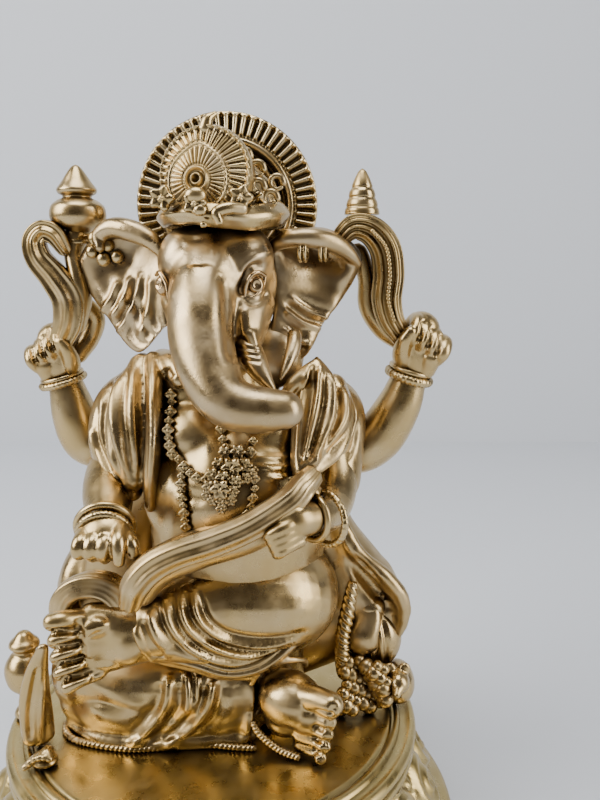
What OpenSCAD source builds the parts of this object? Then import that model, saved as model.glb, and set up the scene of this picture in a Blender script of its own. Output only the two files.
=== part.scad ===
// Seated Ganesha idol of cast resin, gilded all over, on a round base with a scroll band.
// The origin is the centre of the underside. +Z is up and the figure looks along -Y.
// "right" and "left" are the idol's own sides, so its right side lies at -X.

/* [Base] */
// Height of the base, from the underside to the floor that the figure sits on
base_h = 30; // [26:1:36]
// Outer radius of the rim at the top of the base
base_r = 52; // [50:1:60]
// Radius of the foot of the base
foot_r = 62; // [58:1:72]
// Thickness of the top plate of the base
plate_t = 8; // [6:0.5:9]
// Wall of the scroll band below the top plate
band_wall = 6; // [4:0.5:8]
// Number of scroll lobes round the band
lobe_count = 20; // [12:1:24]
// Radius of the rounded mouldings on the rim
moulding_r = 1.7; // [1.2:0.1:1.7]
// Thickness of the plate that closes the hollow base
closer_t = 3; // [2:0.5:4]
// Thickness of the felt pad under the base
felt_t = 1.5; // [1:0.5:2]

/* [Figure] */
// Distance of the figure's centre line from the centre of the base
figure_x = 4; // [0:1:6]
// Height of the crossed legs above the base
lap_h = 48; // [44:1:56]
// Height of the shoulders above the lap
torso_h = 28; // [26:1:34]
// Half the distance between the centres of the shoulders
shoulder_w = 26; // [24:1:30]
// Radius of the belly
belly_r = 22; // [20:0.5:24]
// Height of the centre of the head above the shoulders
head_rise = 33; // [32:0.5:36]
// Radius of the skull
head_r = 14.5; // [13:0.5:16]
// Radius of the trunk where it leaves the face
trunk_r = 7.6; // [6.5:0.1:8.5]
// Thickness of the ears
ear_t = 4; // [3:0.5:5]
// Radius of the forearms at the wrist
wrist_r = 4.4; // [3.6:0.2:5]

/* [Crown and halo] */
// Radius of the brow band of the crown
brow_r = 13; // [12:0.5:14]
// Thickness of the brow band
brow_t = 5.4; // [4:0.2:6]
// Radius of the round plaque on the front of the crown
plaque_r = 10.4; // [9:0.2:12]
// Thickness of the plaque
plaque_t = 4; // [3:0.5:5]
// Radius of the halo
halo_r = 22.4; // [20:0.2:27]
// Thickness of the halo
halo_t = 4; // [3:0.5:5]
// Height of the centre of the halo above the centre of the head
halo_rise = 18.6; // [16:0.2:22]

/* [Ornaments] */
// Radius of the thickness of the bangles
bangle_t = 1.2; // [0.9:0.1:1.5]
// Radius of the necklace beads
bead_r = 1.3; // [1:0.1:1.6]
// Half the thickness of the scrolls that the rear hands hold
scroll_r = 3; // [2.4:0.1:3.6]
// Radius of the bulb of the right finial
bulb_r = 6.7; // [5:0.1:7.5]
// Radius of the cone of the left finial
cone_r = 4.2; // [3.4:0.1:5]

/* [Joining] */
// Radius of the steel dowels that join the castings
dowel_r = 1.5; // [1.2:0.1:1.8]
// Gap between a dowel and its hole
dowel_gap = 0.1; // [0.05:0.05:0.2]
// Gap round the brow band and the rear bangles, where the castings are let in for them
let_in_gap = 0.12; // [0.08:0.02:0.3]

/* [Hidden] */

gilt = [0.80, 0.68, 0.38];
dark_gilt = [0.66, 0.54, 0.28];
pale_gilt = [0.88, 0.80, 0.56];

// Heights that the pieces share
lap_z = base_h + lap_h;
shoulder_z = lap_z + torso_h;
head_c = [figure_x - 1, 0, shoulder_z + head_rise];
halo_c = [figure_x, head_r + 1.5, head_c.z + halo_rise];
brow_c = [figure_x - 0.5, 0.5, head_c.z + head_r - 1.5];
cap_c = brow_c + [1, 1, 1];
plaque_c = brow_c + [-3.2, -(brow_r - 2.5), 9.5];
// The plaque leans back a little and follows the head, which is turned to its right
plaque_turn = [-12, 0, -14];
right_shoulder = [figure_x - shoulder_w, 4, shoulder_z];
left_shoulder = [figure_x + shoulder_w, 4, shoulder_z];

// Axis of each rear forearm, from the elbow to the wrist and the middle of the fist
right_elbow = right_shoulder + [-15, 6, -9];
right_wrist = right_shoulder + [-17, 4, 5];
right_fist_c = right_shoulder + [-17.5, 3, 14.5];
left_elbow = left_shoulder + [12, 6, -10];
left_wrist = left_shoulder + [19, 4, 9];
left_fist_c = left_shoulder + [21, 3, 17];

// Front forearms
right_cuff = [right_shoulder.x + 1, -12, lap_z + 15];
right_palm = [right_shoulder.x + 1.5, -25.5, lap_z + 6];
left_cuff = [left_shoulder.x + 2.5, -8, lap_z + 13];
left_palm = [left_shoulder.x - 7, -26, lap_z + 9.5];

// Finials stand on the far ends of the scrolls
right_finial_at = [right_fist_c.x + 7.5, 8, right_fist_c.z + 27];
left_finial_at = [left_fist_c.x - 14, 8, left_fist_c.z + 32];

// The necklace hangs from this height, and the pendant from its middle
neck_z = shoulder_z + 5.5;
pendant_at = [figure_x + 3.5, -22.5, lap_z + 22];
// Radius of one flower of the pendant and of one sweet
flower_r = 2.2;
sweet_r = 3.1;
// Radius of the hollow at the foot of the base, and the gap round the plate that closes it
hollow_r = foot_r - band_wall - 3;
closer_gap = 0.75;

// One ball of a limb: p is [x, y, z, radius]
module ball(p, sides = 10) translate([p[0], p[1], p[2]]) sphere(r = p[3], $fn = sides);

// A rounded limb through a list of balls
module limb(path, sides = 10)
    for (i = [0:len(path) - 2])
        hull() {
            ball(path[i], sides);
            ball(path[i + 1], sides);
        }

// A flat fan from a root ball to each pair of neighbours on an edge
module fan(root, edge, sides = 8)
    for (i = [0:len(edge) - 2])
        hull() {
            ball(root, sides);
            ball(edge[i], sides);
            ball(edge[i + 1], sides);
        }

// Points of a limb given from an anchor
function from(at, path) = [for (p = path) [at.x + p[0], at.y + p[1], at.z + p[2], p[3]]];

// Stand a shape that is drawn along +Z on the line from a towards b
module along(a, b) {
    d = b - a;
    translate(a)
        rotate([0, acos(d.z / norm(d)), atan2(d.y, d.x)])
            children();
}

// A torus round the Z axis
module ring(major, minor, around = 40, across = 16)
    rotate_extrude($fn = around) translate([major, 0]) circle(r = minor, $fn = across);

// Everything below the floor that the figure sits on
module under_floor() translate([-100, -100, -1]) cube([200, 200, base_h + 1]);

// ---------- Base ----------

// Top plate: flat floor with two rounded mouldings on its rim and a groove between them
module base_top() color(gilt)
    difference() {
        union() {
            translate([0, 0, base_h - plate_t]) cylinder(r = base_r - 2 * moulding_r, h = plate_t, $fn = 96);
            for (i = [0:1])
                translate([0, 0, base_h - moulding_r - i * 2.4 * moulding_r])
                    rotate_extrude($fn = 96)
                        translate([base_r - 2 * moulding_r + i * moulding_r * 0.8, 0])
                            circle(r = moulding_r, $fn = 24);
            translate([0, 0, base_h - plate_t])
                cylinder(r = base_r - moulding_r, h = plate_t - 3.4 * moulding_r, $fn = 96);
        }
        seat_dowel_shapes(dowel_gap);
    }

// Scroll band: a flared wall with a row of upright lobes, open below
module scroll_band() color(dark_gilt) {
    band_h = base_h - plate_t;
    top_r = base_r - moulding_r;
    difference() {
        union() {
            rotate_extrude($fn = 96) polygon([
                [top_r - band_wall, band_h], [top_r, band_h], [top_r + 1, band_h - 3],
                [foot_r - 5, 7], [foot_r - 3, 4.5], [foot_r, 3.5], [foot_r, felt_t],
                [hollow_r, felt_t], [hollow_r, 6]]);
            for (i = [0:lobe_count - 1])
                rotate([0, 0, i * 360 / lobe_count])
                    translate([(top_r + foot_r) / 2 - 2.4, 0, band_h / 2 + 0.5])
                        rotate([0, -22, 0])
                            sphere(r = min(6.5, 3 * foot_r / lobe_count), $fn = 32);
        }
        translate([0, 0, band_h]) cylinder(r = foot_r, h = plate_t, $fn = 96);
        translate([0, 0, felt_t - 0.5])
            cylinder(r1 = hollow_r, r2 = top_r - band_wall, h = band_h - felt_t + 1, $fn = 96);
    }
}

// Plate that closes the hollow of the base, flush with the foot
module closing_plate() color(dark_gilt)
    translate([0, 0, felt_t])
        cylinder(r = hollow_r - closer_gap, h = closer_t, $fn = 96);

// Felt pad glued under the closing plate and the foot
module felt_pad() color("darkgreen") cylinder(r = foot_r - 2, h = felt_t, $fn = 96);

// ---------- Body ----------

module torso_form() limb([
    [figure_x, 4, base_h + 18, 19],
    [figure_x + 2, 2, base_h + 36, 21],
    [figure_x + 3, -2.5, lap_z + 9, belly_r],
    [figure_x + 2, -1, shoulder_z - 6, shoulder_w - 7],
    [figure_x + 1, 0, shoulder_z + 2, shoulder_w - 11],
    [figure_x, 0, shoulder_z + 11, 10]], 18);

module torso() color(gilt)
    difference() {
        torso_form();
        under_floor();
        head_form();
        seat_dowel_shapes(dowel_gap);
        neck_dowel_shape(dowel_gap);
        halo_dowel_shapes(dowel_gap);
    }

// Lower leg, folded flat on the base with its knee at the idol's right
module lower_leg_form() limb([
    [right_shoulder.x - 4, 0, base_h + 12, 12.5],
    [right_shoulder.x + 6, -5, base_h + 11, 12],
    [figure_x - 6, -8, base_h + 11, 11.5],
    [figure_x + 8, -8, base_h + 11, 11],
    [figure_x + 17, -10, base_h + 10.5, 8]], 14);

module lower_leg() color(gilt)
    difference() {
        lower_leg_form();
        torso_form();
        under_floor();
        dhoti_hem_form();
    }

// Foot of the lower leg, on its side with the toes at the idol's left
module lower_foot_form() {
    at = [figure_x + 19, -17, base_h + 11];
    limb(from(at, [[-6, 2, 0, 6], [0, 0, 1.5, 7], [4.5, -2, 1.5, 6]]), 12);
    for (i = [0:4])
        limb(from(at, [[5, -3, 5 - 3 * i, 2.4], [8 - 0.4 * i, -4.5, 5.6 - 3.4 * i, 2.2 - 0.15 * i]]), 8);
}

module lower_foot() color(gilt)
    difference() {
        lower_foot_form();
        lower_leg_form();
        under_floor();
        dhoti_hem_form();
    }

// Upper leg, crossed over the lower one with its knee at the idol's left
module upper_leg_form() limb([
    [left_shoulder.x - 3, 0, lap_z - 15, 14],
    [figure_x + 13, -9, lap_z - 13, 14],
    [figure_x + 1, -13, lap_z - 13, 11.5],
    [figure_x - 8, -17, lap_z - 14, 9],
    [figure_x - 15, -20, lap_z - 15.5, 7]], 14);

module upper_leg() color(gilt)
    difference() {
        upper_leg_form();
        torso_form();
        lower_leg_form();
        lower_foot_form();
        under_floor();
    }

// Foot of the upper leg, its sole to the front and its toes to the idol's right
module upper_foot_form() {
    at = [figure_x - 25, -25, lap_z - 16];
    limb(from(at, [[9, 2, -1, 6.5], [4, 0, 0, 6.5], [-2, 0, 2, 7]]), 12);
    for (i = [0:4])
        limb(from(at, [
            [-3, -1, 6.5 - 3.6 * i, 2.5], [-7.5 + 0.6 * i, -2.5, 8 - 4.1 * i, 2.5 - 0.15 * i]]), 8);
}

module upper_foot() color(gilt)
    difference() {
        upper_foot_form();
        upper_leg_form();
        lower_leg_form();
    }

// Broad cape behind the figure, its lower lip flaring out over the base
module back_cape_form() {
    for (s = [-1, 1])
        limb([
            [figure_x + s * 12, 13, base_h + 17, 17],
            [figure_x + s * (shoulder_w + 10), 13, base_h + 26, 13],
            [figure_x + s * (shoulder_w + 3), 12, lap_z - 4, 12],
            [figure_x + s * (shoulder_w - 3), 10, shoulder_z - 18, 11],
            [figure_x + s * 8, 12, shoulder_z - 8, 12]], 10);
    hull() for (s = [-1, 1]) {
        ball([figure_x + s * 14, 14.5, base_h + 20, 17], 12);
        ball([figure_x + s * shoulder_w, 13, base_h + 26, 15], 12);
        ball([figure_x + s * (shoulder_w - 10), 12, shoulder_z - 16, 13], 12);
    }
}

module back_cape() color(gilt)
    difference() {
        back_cape_form();
        torso_form();
        lower_leg_form();
        upper_leg_form();
        under_floor();
        halo_dowel_shapes(dowel_gap);
        seat_dowel_shapes(dowel_gap);
    }

// Grooved cuff of the dhoti round the upper ankle, between the foot and the right hand
module ankle_cuff_form()
    for (i = [0:2])
        limb([
            [figure_x - 29 + 2 * i, -18, lap_z - 6 + 1.4 * i, 3.4],
            [figure_x - 24 + 2.5 * i, -23, lap_z - 6.5 + 1.2 * i, 3.2],
            [figure_x - 19 + 2 * i, -23, lap_z - 10 + i, 3],
            [figure_x - 15 + 1.5 * i, -20, lap_z - 14, 3]], 8);

module ankle_cuff() color(gilt)
    difference() {
        ankle_cuff_form();
        upper_leg_form();
        upper_foot_form();
        lower_leg_form();
        sash_form();
        right_shawl_form();
        torso_form();
    }

// Gathered cloth that hangs from the upper ankle over the lower leg
module dhoti_drape_form() {
    for (i = [0:3])
        limb([
            [figure_x - 11 + 4.5 * i, -23 + 0.5 * i, lap_z - 20, 3],
            [figure_x - 10 + 4.5 * i, -22, lap_z - 27, 3.2],
            [figure_x - 12 + 6 * i, -19.5, base_h + 13, 3]], 8);
    limb([
        [figure_x - 6, -22, lap_z - 23, 2.4], [figure_x + 5, -22.5, base_h + 19, 2.4],
        [figure_x + 16, -22, base_h + 20, 2.4], [figure_x + 24, -16, base_h + 22, 2.4]], 8);
}

module dhoti_drape() color(gilt)
    difference() {
        dhoti_drape_form();
        upper_leg_form();
        lower_leg_form();
        upper_foot_form();
        lower_foot_form();
        torso_form();
    }

// Corded hem of the dhoti where it meets the base
module dhoti_hem_form() limb([
    [right_shoulder.x - 13, -10, base_h + 1, 1.5],
    [right_shoulder.x - 10, -15, base_h + 1, 1.5],
    [right_shoulder.x - 2, -18, base_h + 1, 1.5],
    [right_shoulder.x + 5, -19.5, base_h + 1, 1.5],
    [figure_x - 10, -18, base_h + 1, 1.5],
    [figure_x - 4, -18, base_h + 1, 1.5],
    [figure_x + 2, -19, base_h + 1, 1.5],
    [figure_x + 7, -20, base_h + 1, 1.5],
    [figure_x + 10, -18, base_h + 1, 1.5]], 8);

module dhoti_hem() color(dark_gilt)
    difference() {
        dhoti_hem_form();
        under_floor();
    }

// ---------- Shawl and sash ----------

// Shawl over the right shoulder and upper arm
module right_shawl_form() {
    limb(from(right_shoulder, [
        [4, 3, 3, 8], [0, 1, -2, 10], [-1, -1, -10, 9], [1, -4, -18, 8], [5, -6, -26, 7]]), 14);
    limb(from(right_shoulder, [
        [10, -6, 8, 4], [8, -13, 0, 4.5], [7, -16, -8, 4], [7, -16, -14, 3]]), 10);
    limb(from(right_shoulder, [[6, -4, 6, 6], [4, -10, -2, 6], [4, -12, -12, 5]]), 10);
}

module right_shawl() color(gilt)
    difference() {
        right_shawl_form();
        torso_form();
        back_cape_form();
        lower_leg_form();
        upper_leg_form();
        upper_foot_form();
        head_form();
        trunk_form();
    }

// Shawl over the left shoulder, its front edge folded to a point beside the trunk
module left_shawl_form() {
    limb(from(left_shoulder, [
        [-4, 3, 3, 8], [0, 1, -1, 10], [1, -1, -8, 9], [-1, -4, -16, 8]]), 14);
    limb(from(left_shoulder, [
        [-5, -13, 13, 1.6], [-5, -13, 6, 4], [-7, -15, -2, 4.5], [-10, -18, -11, 3]]), 10);
    limb(from(left_shoulder, [[-4, -5, 5, 7], [-3, -9, -3, 6], [-4, -12, -12, 5]]), 10);
}

module left_shawl() color(gilt)
    difference() {
        left_shawl_form();
        torso_form();
        back_cape_form();
        upper_leg_form();
        head_form();
        trunk_form();
    }

// Sash laid across the lap from the left hand down to the right foot
module sash_form() {
    path = [
        [left_shoulder.x - 5.5, -25, lap_z + 19, 2], [left_shoulder.x - 14, -27, lap_z + 13.5, 3.4],
        [figure_x + 3, -28, lap_z + 8, 3.6], [figure_x - 5, -28.5, lap_z + 4, 3.4],
        [right_shoulder.x + 13, -29, lap_z - 0.5, 3], [right_shoulder.x + 8, -29, lap_z - 6, 2.8]];
    limb(path, 10);
    limb([for (p = path) [p[0] - 1, p[1] + 5, p[2] - 3, p[3]]], 10);
}

module sash() color(pale_gilt)
    difference() {
        sash_form();
        torso_form();
        upper_leg_form();
        upper_foot_form();
        left_shawl_form();
        right_shawl_form();
    }

// ---------- Arms ----------

module rear_arm_form(shoulder, elbow, wrist, r) limb([
    [shoulder.x, shoulder.y + 5, shoulder.z - 3, 7],
    [elbow.x, elbow.y, elbow.z, r],
    [(elbow.x + wrist.x) / 2, (elbow.y + wrist.y) / 2, (elbow.z + wrist.z) / 2, (r + wrist_r) / 2],
    [wrist.x, wrist.y, wrist.z, wrist_r]], 10);

module right_rear_arm() color(gilt)
    difference() {
        rear_arm_form(right_shoulder, right_elbow, right_wrist, 5.8);
        right_shawl_form();
        back_cape_form();
        torso_form();
        rear_bangle_shapes(let_in_gap);
    }

module left_rear_arm() color(gilt)
    difference() {
        rear_arm_form(left_shoulder, left_elbow, left_wrist, 6.6);
        left_shawl_form();
        back_cape_form();
        torso_form();
        rear_bangle_shapes(let_in_gap);
    }

// A fist closed round an upright ribbon: palm, four curled fingers and the thumb
module fist_form(at, s) {
    limb(from(at, [[0, 0, -7, 4.2], [s * 1, 1, -1, 6], [s * 1, 1, 3, 5.5]]), 10);
    for (i = [0:3])
        limb(from(at, [
            [s * 5, 0, 5 - 3.3 * i, 2.3], [s * 3.5, -5, 5 - 3.3 * i, 2.3],
            [-s * 2, -6, 4.4 - 3.1 * i, 2]]), 8);
    limb(from(at, [[-s * 3.5, -2, -3, 2.4], [-s * 5, -4, 3, 2.2], [-s * 3.5, -5, 7, 2]]), 8);
}

module right_rear_fist() color(gilt)
    difference() {
        fist_form(right_fist_c, -1);
        rear_arm_form(right_shoulder, right_elbow, right_wrist, 5.8);
        rear_bangle_shapes(let_in_gap);
    }

module left_rear_fist() color(gilt)
    difference() {
        fist_form(left_fist_c, 1);
        rear_arm_form(left_shoulder, left_elbow, left_wrist, 6.6);
        rear_bangle_shapes(let_in_gap);
    }

// Bangles that sit on the rear wrists
module rear_bangle_shapes(gap) {
    along(right_wrist, right_fist_c) translate([0, 0, -1]) ring(wrist_r + 0.4, bangle_t + gap, 24, 13);
    along(left_wrist, left_fist_c) translate([0, 0, -1]) ring(wrist_r + 0.4, bangle_t + gap, 24, 13);
}

module rear_bangles() color(dark_gilt) rear_bangle_shapes(0);

// Right front arm, from under the shawl down to the hand on the knee
module right_front_arm_form() limb([
    [right_shoulder.x, -4, shoulder_z - 9, 6],
    [right_cuff.x, right_cuff.y, right_cuff.z, 6],
    [right_cuff.x + 0.5, right_cuff.y - 6, right_cuff.z - 4, 5],
    [right_palm.x, right_palm.y + 3, right_palm.z + 3, wrist_r]], 10);

module right_front_arm() color(gilt)
    difference() {
        right_front_arm_form();
        right_shawl_form();
        torso_form();
        lower_leg_form();
        upper_leg_form();
        right_front_bangle_shapes();
    }

// Right front hand: palm down, four fingers over the knee and the first one straight
module right_front_hand_form() {
    limb(from(right_palm, [[0, 3.5, 4, 4], [0, 0.5, 1, 4.6], [0, -1, -2, 4.4]]), 10);
    for (i = [0:3])
        limb(from(right_palm, [
            [4 - 2.9 * i, -2, -2, 2], [4.4 - 3.1 * i, -4, -5.5, 1.8],
            [4 - 3 * i, -4 + (i > 0 ? 1.5 : 0), -9, 1.6]]), 8);
    limb(from(right_palm, [[5, 2, 1, 2], [7.5, 0, -2, 1.7]]), 8);
}

module right_front_hand() color(gilt)
    difference() {
        right_front_hand_form();
        right_front_arm_form();
        lower_leg_form();
        upper_leg_form();
        upper_foot_form();
        ankle_cuff_form();
        sash_form();
        torso_form();
        right_front_bangle_shapes();
        right_shawl_form();
    }

// Two bangles on the right front wrist
module right_front_bangle_shapes() {
    elbow_end = right_cuff + [0.5, -6, -4];
    wrist_end = right_palm + [0, 3, 3];
    for (i = [0:1])
        along(wrist_end, elbow_end) translate([0, 0, 0.4 + 2.7 * i]) ring(wrist_r + 0.3, bangle_t, 20, 8);
}

module right_front_bangles() color(dark_gilt)
    difference() {
        right_front_bangle_shapes();
        upper_leg_form();
        torso_form();
        right_shawl_form();
    }

// Left front arm, resting on the thigh
module left_front_arm_form() limb([
    [left_shoulder.x + 1, -3, shoulder_z - 10, 6],
    [left_cuff.x, left_cuff.y, left_cuff.z, 6.5],
    [left_cuff.x - 1, left_cuff.y - 4, left_cuff.z - 5, 6.2],
    [left_palm.x + 6, left_palm.y + 5, left_palm.z - 2.5, wrist_r + 0.6]], 10);

module left_front_arm() color(gilt)
    difference() {
        left_front_arm_form();
        left_shawl_form();
        torso_form();
        upper_leg_form();
        sash_form();
        left_front_bangle_shape();
    }

// Left front hand: four fingers laid over the sash towards the idol's right
module left_front_hand_form() {
    limb(from(left_palm, [[5, 3, -2, 4.6], [1, 0.5, -1, 4.8], [-2, 0, 0, 4.4]]), 10);
    for (i = [0:3])
        limb(from(left_palm, [
            [-2, -2, 4 - 2.7 * i, 1.9], [-6.5, -4, 4 - 2.8 * i, 1.7],
            [-10.5 + 0.5 * i, -3.4, 3.6 - 2.7 * i, 1.5]]), 8);
    limb(from(left_palm, [[2, -1, 5, 2.2], [-2, -1.5, 8, 1.9]]), 8);
}

module left_front_hand() color(gilt)
    difference() {
        left_front_hand_form();
        left_front_arm_form();
        sash_form();
        torso_form();
        upper_leg_form();
        left_front_bangle_shape();
        left_shawl_form();
    }

module left_front_bangle_shape() {
    hand_end = left_palm + [6, 5, -2.5];
    elbow_end = left_cuff + [-1, -4, -5];
    along(hand_end, elbow_end) translate([0, 0, 1]) ring(wrist_r + 1.2, bangle_t, 20, 8);
}

module left_front_bangle() color(dark_gilt)
    difference() {
        left_front_bangle_shape();
        sash_form();
        upper_leg_form();
        torso_form();
        left_shawl_form();
    }

// ---------- Necklace ----------

// Beads threaded on a hanging curve from a to b, drop below the ends in the middle
function hang(a, b, drop, t) = a + (b - a) * t + [0, -3.4, -drop] * 4 * t * (1 - t);

module bead_curve(a, b, drop, count)
    for (i = [0:count - 1]) {
        p = hang(a, b, drop, i / (count - 1));
        q = hang(a, b, drop, min(i + 1, count - 1) / (count - 1));
        translate(p) sphere(r = bead_r, $fn = 6);
        hull() {
            translate(p) cube(bead_r * 0.8, center = true);
            translate(q) cube(bead_r * 0.8, center = true);
            translate(p + [0, 4, 0]) cube(bead_r * 0.8, center = true);
        }
    }

module necklace_form()
    bead_curve([right_shoulder.x + 14, -15, neck_z], [left_shoulder.x - 9, -14, neck_z], 9.5, 17);

module necklace() color(pale_gilt)
    difference() {
        necklace_form();
        torso_form();
        right_shawl_form();
        left_shawl_form();
        trunk_form();
        pendant_form();
    }

// Flower pendant: rows of small flowers that narrow to a drop
module pendant_form()
    for (row = [0:3])
        for (i = [0:3 - row]) {
            x = pendant_at.x + (i - (3 - row) / 2) * 1.65 * flower_r;
            z = pendant_at.z + 4 - row * 1.45 * flower_r;
            hull() {
                ball([x, pendant_at.y - 1, z, flower_r], 7);
                ball([x, pendant_at.y + 2.4, z, flower_r], 7);
            }
        }

module pendant() color(pale_gilt)
    difference() {
        pendant_form();
        torso_form();
        trunk_form();
        sash_form();
    }

// Two straight strands of beads on the belly, beside the shawl edges
module bead_strands_form()
    for (x = [figure_x - 9.5, figure_x + 10.5])
        for (i = [0:7])
            hull() {
                ball([x, -22.5 + 0.2 * i, lap_z + 23 - 2.1 * i, bead_r], 6);
                ball([x, -16, lap_z + 23 - 2.1 * i, bead_r], 6);
            }

module bead_strands() color(pale_gilt)
    difference() {
        bead_strands_form();
        torso_form();
        right_shawl_form();
        left_shawl_form();
        sash_form();
        left_front_hand_form();
    }

// ---------- Head ----------

// Skull with two forehead domes, cheeks and the root of the trunk
module head_form() {
    limb(from(head_c, [[0, 0, -6, head_r - 3.5], [0, 1, 0, head_r - 0.5]]), 14);
    limb(from(head_c, [[-5.5, 8 - brow_r, 4.5, 9], [0, 9 - brow_r, 3, 10.5], [6, 9.5 - brow_r, 6.5, 9.5]]), 12);
    limb(from(head_c, [[-5, -6.5, -4, 8], [0, -11, -7, trunk_r + 0.4], [7, -5, -8, 8]]), 12);
    limb(from(head_c, [[0, -6, 2, 10], [-1, -10, -3, 8.5]]), 10);
    limb(from(head_c, [[6, -6, -9, 6.5], [8, -10, -15, 4.5]]), 10);
}

module head() color(gilt)
    difference() {
        head_form();
        brow_band_shape(let_in_gap);
        crown_cap_shape();
        crown_plaque_shape();
        halo_shape();
        eye_shapes(let_in_gap);
        neck_dowel_shape(dowel_gap);
        halo_dowel_shapes(dowel_gap);
    }

// Trunk: down the chest, then bent to the idol's left
module trunk_form() limb(from(head_c, [
    [-1, -15, -9, trunk_r], [-1, -19, -13, trunk_r - 0.2], [0.5, -22.5, -18, trunk_r - 0.9],
    [2.5, -25.5, -22.5, trunk_r - 1.7], [6.5, -26.5, -25, trunk_r - 2.3],
    [11, -26.5, -25.5, trunk_r - 2.7], [15.5, -26, -25, trunk_r - 3.2]]), 14);

module trunk() color(gilt)
    difference() {
        trunk_form();
        head_form();
        torso_form();
    }

module tusk_shape() limb(from(head_c, [
    [7, -15.5, -13.5, 2.3], [9, -18, -16.5, 1.9], [12.5, -20.5, -20, 1.1]]), 10);

module tusk() color(pale_gilt)
    difference() {
        tusk_shape();
        head_form();
        trunk_form();
        torso_form();
        left_shawl_form();
    }

module eye_shapes(gap) {
    translate(head_c + [11, -10, 0]) sphere(r = 2.6 + gap, $fn = 24);
    translate(head_c + [-12, -9.6, 0.5]) sphere(r = 2.4 + gap, $fn = 24);
}

module eyes() color(pale_gilt) eye_shapes(0);

// Ears: a dished fan with a rolled edge
module right_ear_form() {
    r = ear_t / 2;
    edge = [[-11, 0, 9, r], [-19, 3, 12, r], [-26, 5, 11.5, r + 0.4], [-31, 5, 6, r],
        [-28.5, 4, -3, r], [-22, 1, -13, r], [-17, -2, -14.5, r]];
    fan([head_c.x - 8, head_c.y + 1, head_c.z - 1, ear_t], from(head_c, edge), 8);
    limb(from(head_c, edge), 8);
}

module right_ear() color(gilt)
    difference() {
        right_ear_form();
        head_form();
        brow_band_shape(let_in_gap);
        right_shawl_form();
        right_scroll_form();
    }

module left_ear_form() {
    r = ear_t / 2;
    edge = [[12, 0, 9, r], [20, 1, 11.5, r], [29, 5, 11, r + 0.4], [33, 5.5, 5, r],
        [28.5, 4, -6, r], [24, 1, -14, r], [18, -2, -16.5, r]];
    fan([head_c.x + 10, head_c.y + 1, head_c.z - 1, ear_t], from(head_c, edge), 8);
    limb(from(head_c, edge), 8);
}

module left_ear() color(gilt)
    difference() {
        left_ear_form();
        head_form();
        brow_band_shape(let_in_gap);
        left_shawl_form();
        left_scroll_form();
    }

// Gem cluster on the right ear and two rings through the top of the left ear
module ear_ornament_shapes() {
    for (p = [[-26, 0.5, 6], [-23.5, 0.5, 4], [-26.5, 0.2, 2.5]])
        translate(head_c + p) sphere(r = 1.7, $fn = 10);
    for (p = [[17, -2.5, 9], [22, -1, 8.5]])
        translate(head_c + p) rotate([0, 90, 0]) ring(2.4, 0.7, 16, 6);
}

module ear_ornaments() color(pale_gilt)
    difference() {
        ear_ornament_shapes();
        right_ear_form();
        left_ear_form();
        head_form();
        brow_band_shape(0);
    }

// ---------- Crown ----------

module crown_cap_shape()
    translate(cap_c) intersection() {
        sphere(r = brow_r, $fn = 64);
        translate([0, 0, brow_r]) cube(2 * brow_r, center = true);
    }

// Domed cap behind the plaque
module crown_cap() color(dark_gilt)
    difference() {
        crown_cap_shape();
        brow_band_shape(let_in_gap);
        crown_plaque_shape();
        halo_shape();
    }

module brow_band_shape(gap) translate(brow_c) ring(brow_r, brow_t / 2 + gap, 30, 13);

// Rolled band round the brow
module brow_band() color(gilt)
    difference() {
        brow_band_shape(0);
        crown_plaque_shape();
        halo_shape();
    }

// Round plaque on the front of the crown: a disc with a raised rim, a centre boss and a point
module crown_plaque_shape()
    translate(plaque_c) rotate(plaque_turn) rotate([90, 0, 0]) {
        translate([0, 0, -plaque_t]) cylinder(r = plaque_r, h = plaque_t, $fn = 64);
        translate([0, 0, -plaque_t / 2]) ring(plaque_r - 0.6, plaque_t / 2 - 0.6);
        ring(plaque_r * 0.58, 0.9);
        cylinder(r = plaque_r * 0.3, h = 1.6, $fn = 48);
        translate([0, plaque_r - 2, -plaque_t / 2])
            rotate([-90, 0, 0]) cylinder(r1 = plaque_t / 2, r2 = 0.5, h = 4, $fn = 32);
    }

module crown_plaque() color(pale_gilt) crown_plaque_shape();

// Rosettes on the brow band: one in the middle and one at each side
module crown_rosette_shapes()
    for (a = [-52, -6, 40])
        translate(brow_c)
            rotate([0, 0, a])
                translate([0, -brow_r - brow_t / 2 + 0.4, 0])
                    rotate([90, 0, 0]) cylinder(r = 2.4, h = 1.4, $fn = 32);

module crown_rosettes() color(pale_gilt)
    difference() {
        crown_rosette_shapes();
        brow_band_shape(0);
        head_form();
    }

// Halo: a dished disc with a fluted border between two mouldings, fixed behind the head
module halo_shape()
    translate(halo_c) rotate([90, 0, 0]) translate([0, 0, -halo_t]) {
        cylinder(r = halo_r - 0.6, h = halo_t - 1, $fn = 96);
        translate([0, 0, halo_t / 2]) ring(halo_r - 1, 1, 96, 20);
        translate([0, 0, halo_t - 1]) ring(halo_r * 0.75, 1, 96, 20);
        translate([0, 0, halo_t - 1]) ring(halo_r * 0.6, 0.9, 96, 20);
    }

module halo() color(gilt)
    difference() {
        halo_shape();
        halo_dowel_shapes(dowel_gap);
    }

// ---------- Attributes in the rear hands ----------

// Double-ridged ribbon that rises from the right fist, hooks over and carries the finial
module right_scroll_form() {
    for (dy = [-1.6, 1.6])
        limb(from(right_fist_c, [
            [4, -1 + dy, -4, scroll_r - 1], [5, dy - 1, 5, scroll_r - 0.6], [4.5, dy, 12, scroll_r - 0.4],
            [0.5, dy, 19, scroll_r - 0.4], [-2, dy, 25, scroll_r - 0.4], [-1, dy, 30.5, scroll_r - 0.6],
            [3.5, dy, 30.5, scroll_r - 0.8], [7.5, dy + 2, 26, scroll_r - 0.6]]), 8);
}

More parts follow.
